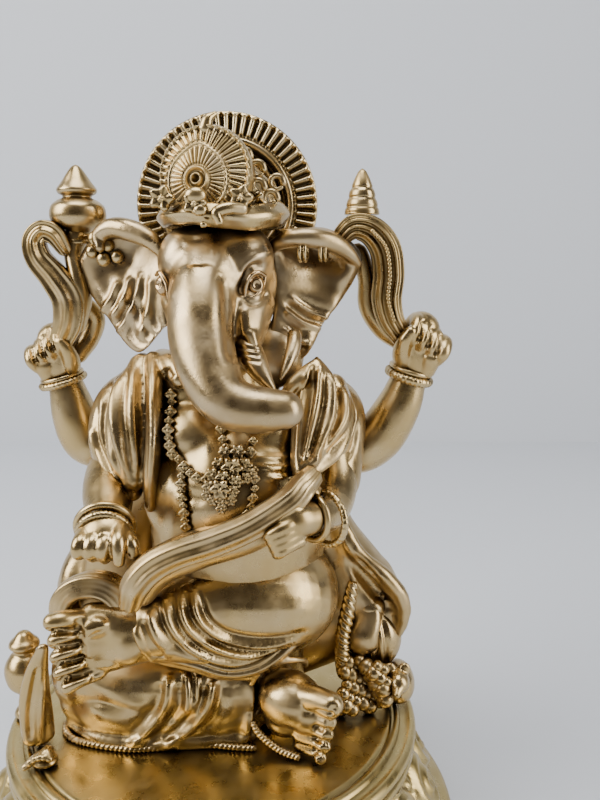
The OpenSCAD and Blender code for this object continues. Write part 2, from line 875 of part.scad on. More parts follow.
module right_scroll() color(gilt)
    difference() {
        right_scroll_form();
        fist_form(right_fist_c, -1);
        rear_arm_form(right_shoulder, right_elbow, right_wrist, 5.8);
        right_finial_shape();
        finial_dowel_shapes(dowel_gap);
        right_shawl_form();
    }

// Pot-shaped finial: neck, bulb and a pointed lid
module right_finial_shape()
    translate(right_finial_at + [0, 0, 1])
        rotate_extrude($fn = 48)
            polygon([
                [0, 0], [3.4, 0], [3.6, 1.2], [2.6, 2.4], [3, 3.4], [bulb_r - 1, 5], [bulb_r, 6.6],
                [bulb_r - 0.4, 8.6], [bulb_r - 2, 10.4], [4, 11.4], [4.6, 12.2], [3.6, 14],
                [1.2, 17], [0, 18]]);

module right_finial() color(gilt)
    difference() {
        right_finial_shape();
        finial_dowel_shapes(dowel_gap);
    }

// Corded ribbon that rises from the left fist and arches over towards the ear
module left_scroll_form() {
    for (dy = [-1.6, 1.6])
        limb(from(left_fist_c, [
            [-5, dy - 1, -4, scroll_r - 0.8], [-8, dy - 1, 4, scroll_r - 0.4], [-11, dy - 1, 12, scroll_r],
            [-8, dy, 18, scroll_r], [-7, dy, 24, scroll_r], [-11, dy, 30, scroll_r - 0.2],
            [-15, dy + 1, 31, scroll_r - 0.4], [-19.5, dy, 29, scroll_r - 0.8]]), 8);
}

module left_scroll() color(gilt)
    difference() {
        left_scroll_form();
        fist_form(left_fist_c, 1);
        rear_arm_form(left_shoulder, left_elbow, left_wrist, 6.6);
        left_finial_shape();
        finial_dowel_shapes(dowel_gap);
        left_shawl_form();
    }

// Cone-shaped finial in three tiers
module left_finial_shape()
    translate(left_finial_at)
        rotate_extrude($fn = 48)
            polygon([
                [0, 0], [cone_r, 0], [cone_r + 0.4, 1.4], [cone_r - 0.8, 2.8], [cone_r - 0.6, 3.6],
                [cone_r - 1, 5.2], [cone_r - 2, 6], [cone_r - 1.9, 7], [cone_r - 3, 9.4], [0, 11.6]]);

module left_finial() color(gilt)
    difference() {
        left_finial_shape();
        finial_dowel_shapes(dowel_gap);
    }

// ---------- Offerings on the base ----------

// Stemmed water pot with a knob, at the idol's right
module water_pot()
    color(gilt) translate([figure_x - 51.6, -4, base_h])
        rotate_extrude($fn = 48)
            polygon([
                [0, 0], [3.1, 0], [3.3, 1.2], [1.8, 2.4], [1.6, 4.8], [2.6, 6.4], [4.6, 9], [5.1, 12], [4.6, 14.8],
                [3, 16.8], [2.7, 17.8], [3.6, 18.8], [3.5, 19.8], [1.9, 21.4], [0, 23]]);

// Pointed leaf that stands beside the knee
module leaf_form() {
    heel = [right_shoulder.x - 18.4, -17.5, base_h];
    limb(from(heel, [
        [0, 0, 2.6, 3], [0.2, -1.1, 9, 3], [0.5, -1.9, 14.5, 2.8], [1.8, -2.9, 21, 2.2], [3.8, -3.7, 27.4, 1.1]]), 10);
}

module leaf() color(gilt)
    difference() {
        leaf_form();
        lower_leg_form();
        upper_foot_form();
        under_floor();
    }

// Small shell-like rosette on the rim in front of the leaf
module shell_rosette() color(pale_gilt)
    translate([figure_x - 40.5, -27.5, base_h]) {
        cylinder(r = 2.2, h = 1.6, $fn = 32);
        for (i = [0:5])
            rotate([0, 0, 60 * i]) translate([2.1, 0, 0]) cylinder(r = 1, h = 1.3, $fn = 24);
    }

// Garland of twisted rope that hangs beside the left knee
module rope_garland_form()
    for (k = [0:2])
        limb([for (i = [0:6])
            [figure_x + 30 + 1.6 * cos(120 * k + 50 * i), -1 + 1.6 * sin(120 * k + 50 * i),
             base_h + 33 - 3.7 * i, 2.3]], 8);

module rope_garland() color(gilt)
    difference() {
        rope_garland_form();
        back_cape_form();
        upper_leg_form();
        lower_leg_form();
        lower_foot_form();
    }

// Tied sack behind the sweets
module sack_form() limb([
    [figure_x + 35, 5, base_h + 14, 7], [figure_x + 38.5, 4, base_h + 20, 7.5],
    [figure_x + 36, 3, base_h + 28, 3]], 12);

module sack() color(gilt)
    difference() {
        sack_form();
        back_cape_form();
        rope_garland_form();
        lower_leg_form();
        upper_leg_form();
    }

// Heap of round sweets
module sweets_form()
    for (p = [
        [28, -3, 0], [33.5, -4.5, 0], [39, -4, 0], [31, 1, 0], [36.5, 1, 0],
        [30.5, -2.5, 1], [36, -2.5, 1], [33.4, -2, 2]])
        hull() {
            ball([figure_x + p[0], p[1], base_h + sweet_r + 4.6 * p[2], sweet_r], 8);
            ball([figure_x + p[0] + 0.2, p[1] + 0.6, base_h + 2 + 4.2 * p[2], sweet_r - 0.6], 6);
        }

module sweets() color(pale_gilt)
    difference() {
        sweets_form();
        under_floor();
        back_cape_form();
        lower_leg_form();
        lower_foot_form();
        upper_leg_form();
        rope_garland_form();
        sack_form();
    }

// Mouse that looks up at the figure from behind the sweets
module mouse_form() {
    at = [figure_x + 43, 1, base_h];
    limb(from(at, [[1, 5, 4.5, 4.6], [0.5, 1, 5.5, 4.2], [0, -3, 8.5, 3.2], [-0.8, -6.5, 7.8, 1.4]]), 10);
    for (s = [-1, 1]) {
        limb(from(at, [[s * 2, -2, 10.5, 1.6], [s * 2.8, -1.6, 12, 1.2]]), 8);
        limb(from(at, [[s * 2.2, -3, 4.5, 1.4], [s * 2, -5, 1.2, 1.3]]), 8);
    }
}

module mouse() color(gilt)
    difference() {
        mouse_form();
        under_floor();
        sweets_form();
        sack_form();
        back_cape_form();
    }

// ---------- Dowels ----------

// Each dowel shape takes the gap of its hole, or nothing for the dowel itself
module dowel(a, b, gap)
    along(a, b)
        translate([0, 0, -gap]) cylinder(r = dowel_r + gap, h = norm(b - a) + 2 * gap, $fn = 24);

// Two dowels that hold the halo: one in the head and one in the back
module halo_dowel_shapes(gap) {
    dowel(halo_c + [0, halo_t - 1, -halo_rise], halo_c + [0, -6, -halo_rise], gap);
    dowel(halo_c + [0, halo_t - 1, -halo_rise + 5], halo_c + [0, -6, -halo_rise + 5], gap);
}

module halo_dowels() color("silver") halo_dowel_shapes(0);

// Upright dowel in the neck, half in the torso and half in the head
module neck_dowel_shape(gap)
    dowel([figure_x, 1, shoulder_z + 6], [figure_x, 1, shoulder_z + 28], gap);

module neck_dowel() color("silver") neck_dowel_shape(0);

// Two dowels between the figure and the top plate
module seat_dowel_shapes(gap)
    for (s = [-1, 1])
        dowel([figure_x + s * 8, 6, base_h - plate_t + 2], [figure_x + s * 8, 6, base_h + 10], gap);

module seat_dowels() color("silver") seat_dowel_shapes(0);

// One dowel under each finial
module finial_dowel_shapes(gap) {
    dowel(right_finial_at + [0, 0, -2], right_finial_at + [0, 0, 6], gap);
    dowel(left_finial_at + [0, 0, -2], left_finial_at + [0, 0, 4], gap);
}

module finial_dowels() color("silver") finial_dowel_shapes(0);

base_top();
scroll_band();
closing_plate();
felt_pad();
torso();
lower_leg();
lower_foot();
upper_leg();
upper_foot();
ankle_cuff();
back_cape();
dhoti_drape();
dhoti_hem();
right_shawl();
left_shawl();
sash();
right_rear_arm();
right_rear_fist();
left_rear_arm();
left_rear_fist();
right_front_arm();
right_front_hand();
left_front_arm();
left_front_hand();
rear_bangles();
right_front_bangles();
left_front_bangle();
necklace();
pendant();
bead_strands();
head();
trunk();
tusk();
eyes();
right_ear();
left_ear();
ear_ornaments();
crown_cap();
brow_band();
crown_plaque();
crown_rosettes();
halo();
right_scroll();
right_finial();
left_scroll();
left_finial();
water_pot();
leaf();
shell_rosette();
rope_garland();
sack();
sweets();
mouse();
halo_dowels();
neck_dowel();
seat_dowels();
finial_dowels();
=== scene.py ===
"""Seated Ganesha idol of cast resin with gold lacquer, on a round base with a scroll band.

Every casting is worked out in millimetres and written to its mesh in metres. "Right" and "left" are
the idol's own sides, so its right side lies at -X.
"""

import bpy
import numpy as np
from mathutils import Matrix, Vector


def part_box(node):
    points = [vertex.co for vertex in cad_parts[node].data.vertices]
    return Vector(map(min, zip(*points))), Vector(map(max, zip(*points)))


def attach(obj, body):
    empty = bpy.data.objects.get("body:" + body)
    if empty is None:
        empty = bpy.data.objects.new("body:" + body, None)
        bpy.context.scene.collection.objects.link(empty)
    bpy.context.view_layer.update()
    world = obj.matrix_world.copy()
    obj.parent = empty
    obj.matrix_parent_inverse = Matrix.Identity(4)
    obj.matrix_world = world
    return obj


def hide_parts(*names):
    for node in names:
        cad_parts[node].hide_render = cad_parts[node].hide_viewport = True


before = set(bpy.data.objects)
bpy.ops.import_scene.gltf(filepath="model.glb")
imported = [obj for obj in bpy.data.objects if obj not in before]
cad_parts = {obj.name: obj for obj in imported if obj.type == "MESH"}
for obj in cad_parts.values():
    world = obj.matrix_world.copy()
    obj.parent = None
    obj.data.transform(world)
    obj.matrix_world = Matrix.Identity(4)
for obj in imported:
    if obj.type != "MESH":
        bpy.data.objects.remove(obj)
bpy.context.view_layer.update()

# ---------- Base: floor plate ----------
# The base is a round casting with a flat floor that the figure sits on. Two rounded mouldings and a
# groove run round its rim. It is lacquered in a warmer, more olive gold than the figure.

MM = 0.001


def box_mm(node):
    """The lowest and highest corners of a CAD node's box, in millimetres."""
    low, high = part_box(node)
    return np.array(low) / MM, np.array(high) / MM


def unit(v):
    """Vectors along the last axis, each divided by its length."""
    v = np.asarray(v, float)
    return v / np.maximum(np.linalg.norm(v, axis=-1, keepdims=True), 1e-9)


def put(name, shell, nodes, material):
    """Makes one piece of points in millimetres from the floor's centre, and ties it to its CAD nodes."""
    points, faces = shell
    mesh = bpy.data.meshes.new(name)
    mesh.from_pydata(((np.asarray(points) + floor) * MM).tolist(), [], [list(q) for q in faces])
    mesh.polygons.foreach_set("use_smooth", np.full(len(mesh.polygons), True))
    mesh.update()
    piece = bpy.data.objects.new(name, mesh)
    bpy.context.scene.collection.objects.link(piece)
    mesh.materials.append(material)
    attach(piece, "root")
    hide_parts(*nodes)
    return piece


def closed(grid):
    """Skin over a grid of rings: four-sided faces between the rings, and a point closing each end."""
    rows, columns = grid.shape[:2]
    i, j = np.meshgrid(np.arange(rows - 1), np.arange(columns), indexing="ij")
    k = (j + 1) % columns
    quads = np.stack([i * columns + j, (i + 1) * columns + j, (i + 1) * columns + k, i * columns + k], -1)
    j, last = np.arange(columns), (rows - 1) * columns
    k, tip = (j + 1) % columns, rows * columns
    start = np.stack([j, k, 0 * j + tip], -1)
    end = np.stack([last + k, last + j, 0 * j + tip + 1], -1)
    points = np.vstack([grid.reshape(-1, 3), grid[0].mean(0), grid[-1].mean(0)])
    return points, quads.reshape(-1, 4).tolist() + start.tolist() + end.tolist()


def together(*shells):
    """Several shells as one list of points and one of faces."""
    points, faces, first = [], [], 0
    for p, f in shells:
        points.append(p)
        faces += [[first + i for i in q] for q in f]
        first += len(p)
    return np.vstack(points), faces


def turned(profile, around, ripple=None):
    """A profile of (radius, height) rows, top first, turned round +Z. ripple(angle, row) adds to both."""
    profile = np.asarray(profile, float)
    angle = np.linspace(0, 2 * np.pi, around, endpoint=False)[None, :]
    radius = profile[:, :1] + 0 * angle
    height = profile[:, 1:2] + 0 * angle
    if ripple is not None:
        dr, dz = ripple(angle, np.linspace(0, 1, len(profile))[:, None])
        radius, height = radius + dr, height + dz
    return closed(np.stack([radius * np.cos(angle), radius * np.sin(angle), height], -1))


def lacquer(name, gold, shade, rough=0.3, wear=0.3, grain=0.12, deep=0.85, reach=3.2):
    """Metallic gold lacquer with painted shade darkening its hollows, and mottled, worn and finely grained."""
    m = bpy.data.materials.new(name)
    m.use_nodes = True
    n, link = m.node_tree.nodes, m.node_tree.links
    shader = n["Principled BSDF"]
    shader.inputs["Metallic"].default_value = 1.0
    place = n.new("ShaderNodeTexCoord")

    def noise(scale, detail):
        cloud = n.new("ShaderNodeTexNoise")
        cloud.inputs["Scale"].default_value = scale
        cloud.inputs["Detail"].default_value = detail
        link.new(place.outputs["Object"], cloud.inputs["Vector"])
        return cloud.outputs["Fac"]

    def spread(value, low, high, a, b):
        ranged = n.new("ShaderNodeMapRange")
        link.new(value, ranged.inputs["Value"])
        for socket, number in zip(("From Min", "From Max", "To Min", "To Max"), (low, high, a, b)):
            ranged.inputs[socket].default_value = number
        return ranged.outputs["Result"]

    def mixed(fac, a, b):
        mix = n.new("ShaderNodeMix")
        mix.data_type = "RGBA"
        link.new(fac, mix.inputs["Factor"])
        for socket, colour in (("A", a), ("B", b)):
            target = [s for s in mix.inputs if s.name == socket and s.type == "RGBA"][0]
            if isinstance(colour, tuple):
                target.default_value = (*colour, 1)
            else:
                link.new(colour, target)
        return [s for s in mix.outputs if s.type == "RGBA"][0]

    # Painted shade: where ambient occlusion within reach finds a hollow, the colour is mixed towards the shade
    # colour, by up to deep.
    hollow = n.new("ShaderNodeAmbientOcclusion")
    hollow.samples = 8
    hollow.inputs["Distance"].default_value = reach * MM
    painted_shade_mask = spread(hollow.outputs["AO"], 0.2, 0.85, deep, 0.0)
    patch = spread(noise(60, 4), 0.35, 0.7, 0.0, 0.3)
    pale = tuple(min(1.0, 0.3 * w + 0.7 * g) for g, w in zip(gold, (0.9, 0.86, 0.76)))
    worn = spread(noise(150, 6), 0.4, 0.75, 0.0, wear)
    body = mixed(worn, gold, pale)
    body = mixed(patch, body, tuple(0.7 * g + 0.3 * s for g, s in zip(gold, shade)))
    link.new(mixed(painted_shade_mask, body, shade), shader.inputs["Base Color"])
    link.new(spread(noise(220, 5), 0.3, 0.7, rough - 0.06, rough + 0.1 + 0.1 * wear),
             shader.inputs["Roughness"])
    bump = n.new("ShaderNodeBump")
    bump.inputs["Strength"].default_value = grain
    bump.inputs["Distance"].default_value = 0.12 * MM
    link.new(noise(1400, 6), bump.inputs["Height"])
    link.new(bump.outputs["Normal"], shader.inputs["Normal"])
    return m


low, high = box_mm("base_top")
floor = np.array([(low[0] + high[0]) / 2, (low[1] + high[1]) / 2, high[2]])
RIM, PLATE = high[0] - floor[0], high[2] - low[2]
# Each lacquer's second colour is the painted shade laid into its hollows; a little of it also tints the random
# mottling.
base_gold = lacquer("base_gold", (0.52, 0.39, 0.15), (0.10, 0.06, 0.018), rough=0.27, wear=0.25)

bead = np.linspace(np.pi / 2, -0.62 * np.pi, 10)
outer = [(RIM - 1.7 + 1.7 * np.cos(a), -2.1 + 1.7 * np.sin(a)) for a in bead]
inner = [(RIM - 5.2 + 1.3 * np.cos(a), -1.1 + 1.3 * np.sin(a)) for a in np.linspace(np.pi * 0.9, 0.1, 8)]
under = [(RIM - 2.2 + 1.9 * np.cos(a), -5.6 + 1.9 * np.sin(a))
         for a in np.linspace(np.pi * 0.35, -0.45 * np.pi, 9)]
plate = [(r, 0.0) for r in np.linspace(0.05, RIM - 6.7, 40)] + inner + outer + under
plate += [(RIM - 8, -PLATE), (0.05, -PLATE)]
put("base_top", turned(plate, 240), ["base_top"], base_gold)

# ---------- Base: scroll band ----------
# The flared wall of the base is a hollow resin casting, open below. Twenty upright curled lobes stand out
# of it, each with a coiled groove, and small buds fill the gaps between them.

LOBES = 20
low, high = box_mm("scroll_band")
FOOT, DROP = high[0] - floor[0], PLATE + (high[2] - low[2])


def looped(grid):
    """Skin over a grid of rings that closes on itself both ways: four-sided faces all over, and no ends."""
    rows, columns = grid.shape[:2]
    i, j = np.meshgrid(np.arange(rows), np.arange(columns), indexing="ij")
    down, on = (i + 1) % rows, (j + 1) % columns
    quads = np.stack([i * columns + j, down * columns + j, down * columns + on, i * columns + on], -1)
    return grid.reshape(-1, 3), quads.reshape(-1, 4).tolist()


def lobes(angle, row):
    """Adds the lobes: an oval dome for each, cut by a spiral groove, with a bud between each pair."""
    wall = np.clip((row - 0.04) / 0.5, 0, 1)
    u = (angle * LOBES / (2 * np.pi)) % 1 - 0.5
    v = (wall - 0.47) / 0.5
    away = np.sqrt((u / 0.47) ** 2 + v**2)
    dome = np.sqrt(np.clip(1 - away**2, 0, 1))
    coil = np.cos(2 * np.pi * 2.1 * away - np.arctan2(v, u / 0.47))
    bud = np.exp(-(((np.abs(u) - 0.5) / 0.09) ** 2 + ((np.abs(v) - 0.62) / 0.22) ** 2))
    out = 3.4 * dome + 0.55 * coil * (away < 1) * dome + 1.3 * bud
    return out * (row < 0.56), 0 * out


outside = [(RIM - 2.2 + 0.2 * t + (FOOT - RIM - 2.4) * t**1.5, -PLATE - t * (DROP - PLATE - 4))
           for t in np.linspace(0, 1, 56)]
foot = [(FOOT - 1.6, -DROP + 3.6), (FOOT - 0.4, -DROP + 2.6), (FOOT, -DROP + 1.4), (FOOT - 0.2, -DROP)]
inside = [(FOOT - 9, -DROP), (FOOT - 9, -DROP + 4.5), (RIM - 7.7, -PLATE - 0.05)]
wall = np.array(outside + foot + inside)
angle = np.linspace(0, 2 * np.pi, 480, endpoint=False)[None, :]
dr, _ = lobes(angle,
              np.concatenate([np.linspace(0, 0.54, len(outside)), np.ones(len(foot) + len(inside))])[:, None])
radius = wall[:, :1] + dr
ring = np.stack([radius * np.cos(angle), radius * np.sin(angle), wall[:, 1:2] + 0 * radius], -1)
put("scroll_band", looped(ring), ["scroll_band"], base_gold)

# ---------- Torso ----------
# The seated body is one resin casting: a round belly, a soft chest and the neck that the head is pinned to.
# Like all the figure's castings it was modelled by hand, moulded, cast solid and sprayed with gold lacquer.

FRONT = unit((0.12, -0.95, 0.28))
SIDES, STEPS = 28, 48
turn = np.linspace(0, 2 * np.pi, SIDES, endpoint=False)
CIRCLE = np.stack([np.cos(turn), np.sin(turn)], -1)


def smooth_line(points, count):
    """A curve through the given rows, worked out as a Catmull-Rom spline at even steps along it."""
    p = np.asarray(points, float)
    p = np.vstack([2 * p[0] - p[1], p, 2 * p[-1] - p[-2]])
    steps = np.concatenate([[0], np.cumsum(np.linalg.norm(np.diff(p[1:-1, :3], axis=0), axis=1))])
    s = np.linspace(0, steps[-1], count)
    i = np.clip(np.searchsorted(steps, s, side="right") - 1, 0, len(steps) - 2)
    t = ((s - steps[i]) / np.maximum(steps[i + 1] - steps[i], 1e-9))[:, None]
    a, b, c, d = p[i], p[i + 1], p[i + 2], p[i + 3]
    return 0.5 * (2 * b + (c - a) * t + (2 * a - 5 * b + 4 * c - d) * t**2 + (3 * b - a - 3 * c + d) * t**3)


def carried(profile, rows, ref=(0, -1, 0), along=40, blunt=(1.0, 1.0)):
    """A closed profile of (side, out) rows carried along a smooth line, and rounded off at both ends.

    Each row is x, y, z and the scale of side, then of out if it differs. Out points to ref as far as it can."""
    rows = np.array([(*row, row[3]) if len(row) == 4 else tuple(row) for row in rows], float)
    line = smooth_line(rows, along)
    centre, scale = line[:, :3], np.maximum(line[:, 3:5], 0.05)
    run = unit(np.gradient(centre, axis=0))
    a = np.linspace(0.06, np.pi / 2, 7)[:-1]
    start = centre[0] - run[0] * blunt[0] * scale[0].min() * np.cos(a)[:, None]
    end = centre[-1] + run[-1] * blunt[1] * scale[-1].min() * np.cos(a[::-1])[:, None]
    centre = np.vstack([start, centre, end])
    run = np.vstack([np.repeat(run[:1], 6, 0), run, np.repeat(run[-1:], 6, 0)])
    size = np.vstack([scale[:1] * np.sin(a)[:, None], scale, scale[-1:] * np.sin(a[::-1])[:, None]])
    side = unit(np.cross(run, np.asarray(ref, float)))
    out = np.cross(side, run)
    grid = (centre[:, None] + side[:, None] * (profile[None, :, :1] * size[:, None, :1])
            + out[:, None] * (profile[None, :, 1:] * size[:, None, 1:]))
    return closed(grid)


def limb(rows, ref=(0, -1, 0), along=36, blunt=(1.0, 1.0)):
    """A round limb with half-ball ends: a circle carried along its rows of x, y, z and radius."""
    return carried(CIRCLE, rows, ref, along, blunt)


def ball(centre, radii, around=36, along=19):
    """An egg shape: half an ellipse turned round +Z, widened to its three radii."""
    a = np.linspace(0.03, np.pi - 0.03, along)
    points, faces = turned(np.stack([np.sin(a), np.cos(a)], -1), around)
    return points * np.asarray(radii, float) + np.asarray(centre, float), faces


def knit(shells, voxel=0.6, relax=4):
    """One skin over several overlapping closed shells: their union on a fine grid, then smoothed."""
    points, faces = together(*shells)
    mesh = bpy.data.meshes.new("clay")
    mesh.from_pydata(points.tolist(), [], faces)
    clay = bpy.data.objects.new("clay", mesh)
    bpy.context.scene.collection.objects.link(clay)
    skin = clay.modifiers.new("skin", "REMESH")
    skin.mode, skin.voxel_size = "VOXEL", voxel
    even = clay.modifiers.new("even", "SMOOTH")
    even.factor, even.iterations = 0.5, relax
    done = clay.evaluated_get(bpy.context.evaluated_depsgraph_get()).to_mesh()
    co, loops = np.empty(len(done.vertices) * 3), np.empty(len(done.loops), int)
    done.vertices.foreach_get("co", co)
    done.loops.foreach_get("vertex_index", loops)
    bpy.data.objects.remove(clay)
    bpy.data.meshes.remove(mesh)
    return co.reshape(-1, 3), loops.reshape(-1, 4)


def facing(points, quads):
    """The outward direction at each point: the mean of its faces' normals, weighted by their area."""
    across = points[quads[:, 2]] - points[quads[:, 0]]
    normal = np.cross(across, points[quads[:, 3]] - points[quads[:, 1]])
    total = np.stack([np.bincount(quads.ravel(), np.repeat(normal[:, a], 4), len(points)) for a in range(3)],
                     -1)
    return unit(total)


def carve(skin, strokes, toward=FRONT, reach=9.0):
    """Raises or cuts strokes in a skin: each is a line, a width and a lift, lift below zero for a groove.

    A point moves along its normal by lift x exp(-(distance / width) squared). The distance is measured
    across the direction it is carved from, and the stroke fades at its ends and on faces turned away."""
    points, quads = skin
    normals = facing(points, quads)
    toward = np.asarray(toward, float)
    face = np.clip(1.6 * (normals @ toward), 0, 1)
    move = np.zeros(len(points))
    for line, width, lift in strokes:
        path = smooth_line(line, STEPS)
        flat = path - (path @ toward)[:, None] * toward
        near = points - (points @ toward)[:, None] * toward
        aside = np.abs(near - flat.mean(0)).max(1)
        pick = np.where((aside < np.abs(flat - flat.mean(0)).max() + 3 * width) & (face > 0))[0]
        if not len(pick):
            continue
        gap = np.linalg.norm(near[pick, None] - flat[None], axis=-1)
        k = gap.argmin(1)
        depth = np.abs((points[pick] - path[k]) @ toward)
        t = k / (STEPS - 1)
        fade = np.clip(np.minimum(t, 1 - t) / 0.14 + 0.12, 0, 1)
        move[pick] += lift * np.exp(-(gap.min(1) / width) ** 2 - (depth / reach) ** 4) * fade
    return points + normals * (move * face)[:, None], quads


figure_gold = lacquer("figure_gold", (0.55, 0.395, 0.175), (0.08, 0.044, 0.016), rough=0.26, wear=0.35,
                      reach=4.2)
body = knit([limb([(4, 4, 2, 19), (4, 4, 18, 19.5), (6, 2, 36, 21), (7, -2.5, 57, 21.5), (6, -1, 70, 18.5),
                   (5, 0, 79, 14), (4, 0, 90, 9)], blunt=(0.1, 1)), ball((-2, -8, 74), (9.5, 9, 8.5)),
             ball((13, -8, 74), (9.5, 9, 8.5)), ball((-6.5, -8.5, 60), (8.5, 9, 13)),
             ball((-4, -2.6, 84), (8.4, 8, 8.6))], 0.8, 8)
body = carve(body, [([(5, -20, 82), (5.2, -21, 74), (5.4, -22, 68)], 2.2, -0.7),
                    ([(12, -19, 71.5), (16, -18, 71), (20, -15, 70.6)], 0.7, 0.5),
                    ([(12.5, -19, 69.3), (16.5, -18, 68.6), (20.5, -15, 68.6)], 0.7, 0.6),
                    ([(13, -19, 67.2), (17, -18, 66.3), (20.5, -15, 66.5)], 0.7, 0.5),
                    ([(-8, -20, 70), (-4, -22, 64.5), (2, -24, 63)], 1.6, -0.4)])
put("torso", body, ["torso"], figure_gold)

# ---------- Legs and feet ----------
# Both legs are castings laid over the torso, crossed in front of it. The dhoti is modelled on them as soft
# folds, pressed in with a rounded tool. The feet are bare, each with five toes.

ON_FLOOR = 0.02
lower_leg = knit([limb([(-28.4, -4, 12.6, 12.2), (-16, -7, 12.2, 12.3), (-2, -9, 11.8, 11.8),
                        (8, -9, 11.2, 10.6), (14, -10, 10.5, 7.6)]),
                  limb([(-31, -7.6, 7, 7), (-23, -11.8, 7, 7.6), (-12, -12.4, 7, 7.7), (-2, -12.2, 7, 7.6),
                        (8, -12.4, 7, 6.6)]),
                  limb([(-31.5, -7, 1.8, 6.6, 3.8), (-24, -11, 1.8, 8, 4.2), (-14, -12.4, 1.8, 8, 4.4),
                        (-2, -11.8, 1.8, 8, 4.4), (8, -12.6, 1.8, 6.4, 4)], ref=(0, 0, 1))], 0.45, 7)
lower_leg = carve(lower_leg, [
    ([(-8.2, -20, 20), (-9.3, -20, 12.5), (-14.5, -18, 5), (-18.5, -18, 0.6)], 1.3, 1.5),
    ([(-10.4, -20, 18), (-12, -20, 11), (-18, -18, 3.5)], 1.5, -0.9),
    ([(-6.3, -20, 18), (-6.8, -20, 11.5), (-11.5, -18, 4), (-15, -18, 1)], 1.1, -1.0),
    ([(2, -19, 19), (0.3, -19, 12), (-4.1, -19, 6.2), (-10.5, -19, 1)], 1.2, 1.5),
    ([(0, -19, 18), (-2, -19, 11.5), (-6.3, -19, 6), (-11, -19, 2)], 1.1, -1.0),
    ([(4.2, -19, 18), (3.2, -19, 11), (-0.8, -19, 4)], 1.4, -0.8),
    ([(-4.4, -19, 20), (-4.0, -19, 14.5), (-4.6, -19, 10)], 0.9, 1.1),
    ([(-2.2, -19, 20), (-2.0, -19, 14), (-3.4, -19, 9)], 0.7, 0.9),
    ([(-3.1, -19, 20), (-3.0, -19, 13)], 0.6, -0.8),
    ([(10, -19, 19), (10.8, -19, 12), (9, -19, 1)], 1.3, 1.1),
    ([(7.4, -19, 18), (7.2, -19, 10), (6.6, -19, 2)], 2.0, -0.5),
    ([(13, -19, 20), (12.8, -19, 10), (11.6, -19, 2)], 1.3, -2.2),
    ([(-30, -12, 17), (-22, -16, 13), (-14, -18, 9)], 2.4, 0.6),
    ([(-33, -12, 9), (-26, -17, 5), (-18, -19, 3)], 2.2, -0.5)])
lower_leg[0][:, 2] = np.maximum(lower_leg[0][:, 2], ON_FLOOR)
put("lower_leg", lower_leg, ["lower_leg"], figure_gold)

instep = [limb([(15.6, -13, 11.4, 4.8), (18, -16.6, 12.5, 6.5), (21, -19, 12.4, 6.4), (23.6, -20.5, 11, 5)]),
          ball((22.6, -19.6, 14.3), (4.2, 4.5, 4.2)), ball((18.6, -16, 7.5), (5.4, 6, 5))]
lower_toes = [(29.5, 15.4, 2.9), (28.9, 11.1, 2.0), (28.5, 8.0, 1.8), (28.0, 5.0, 1.7), (27.2, 2.1, 1.5)]
instep += [limb([(22, -20.5, z * 0.94 + 0.6, r + 0.4), (25.5, -23, z + 0.3, r), (x - 0.6, -25, z, r)],
                along=16) for x, z, r in lower_toes]
instep = carve(knit(instep, 0.4, 4),
               [([(x - 1.3, -27, z + 0.5), (x + 0.7, -27, z + 0.6)], 0.85, -0.42) for x, z, r in lower_toes]
               + [([(24.6, -24, z - 1.55), (29.2, -25, z - 1.65)], 0.6, -1.0) for x, z, r in lower_toes[:4]])
instep[0][:, 2] = np.maximum(instep[0][:, 2], ON_FLOOR)
put("lower_foot", instep, ["lower_foot"], figure_gold)

upper_leg = knit([limb([(17, 3, 32, 13.5), (17.5, -6, 33.5, 13.8), (11, -11, 35, 13), (3, -14.5, 35.5, 11),
                        (-5, -18, 34, 8.6), (-12, -20, 32.5, 7.2)]),
                  limb([(-12, -21, 29, 4.5), (-3, -21, 29, 5), (5, -19, 27, 5), (13, -16, 27, 5),
                        (20, -12, 29, 5)])], 0.42, 8)
upper_leg = carve(upper_leg,
                  [([(-0.4, -24, 42.5), (1.4, -24, 36), (5.8, -24, 31.9), (12.3, -24, 30.2),
                     (19.2, -24, 30.1), (23.5, -20, 30.3)], 0.9, -1.3),
                   ([(-2, -24, 43), (-0.4, -24, 36), (4.2, -24, 31.4), (10.5, -24, 29.2), (17.2, -24, 28.8),
                     (22.4, -20, 28.9)], 0.9, 1.1),
                   ([(-3.5, -24, 42.5), (-2.1, -24, 35.9), (2.3, -24, 31), (8.7, -24, 27.9),
                     (14.7, -24, 27.3), (22.4, -19, 28.2)], 0.7, -0.95),
                   ([(-5, -24, 42), (-3.5, -24, 35.2), (0.6, -24, 30.2), (6.8, -24, 27), (13, -24, 26.2),
                     (22.4, -19, 27.5)], 0.9, 1.0),
                   ([(-6.5, -24, 42), (-5.1, -24, 34.9), (-1.2, -24, 29.4), (4.7, -24, 26.2),
                     (11.2, -24, 25.3), (21.4, -19, 26.4)], 0.7, -0.9),
                   ([(-8.2, -25, 41), (-6.6, -25, 34.6), (-2.8, -25, 29.2), (3.7, -25, 25.5), (10, -25, 24.1),
                     (18, -22, 24.4)], 0.9, 0.9),
                   ([(-9.8, -25, 40), (-8, -25, 34.3), (-4.1, -25, 28.9), (2, -25, 25.2), (8, -25, 23.4)],
                    0.7, -1.0), ([(-11.4, -26, 38.4), (-9.6, -26, 32.8), (-6.4, -26, 27.6)], 0.9, 1.0),
                   ([(-13.1, -26, 36.5), (-10.9, -26, 30.6), (-8, -26, 26.3)], 0.7, -0.9),
                   ([(-14.6, -26, 35), (-12.6, -26, 29.4), (-10.4, -26, 25.6)], 0.8, 0.7)])
put("upper_leg", upper_leg, ["upper_leg"], figure_gold)

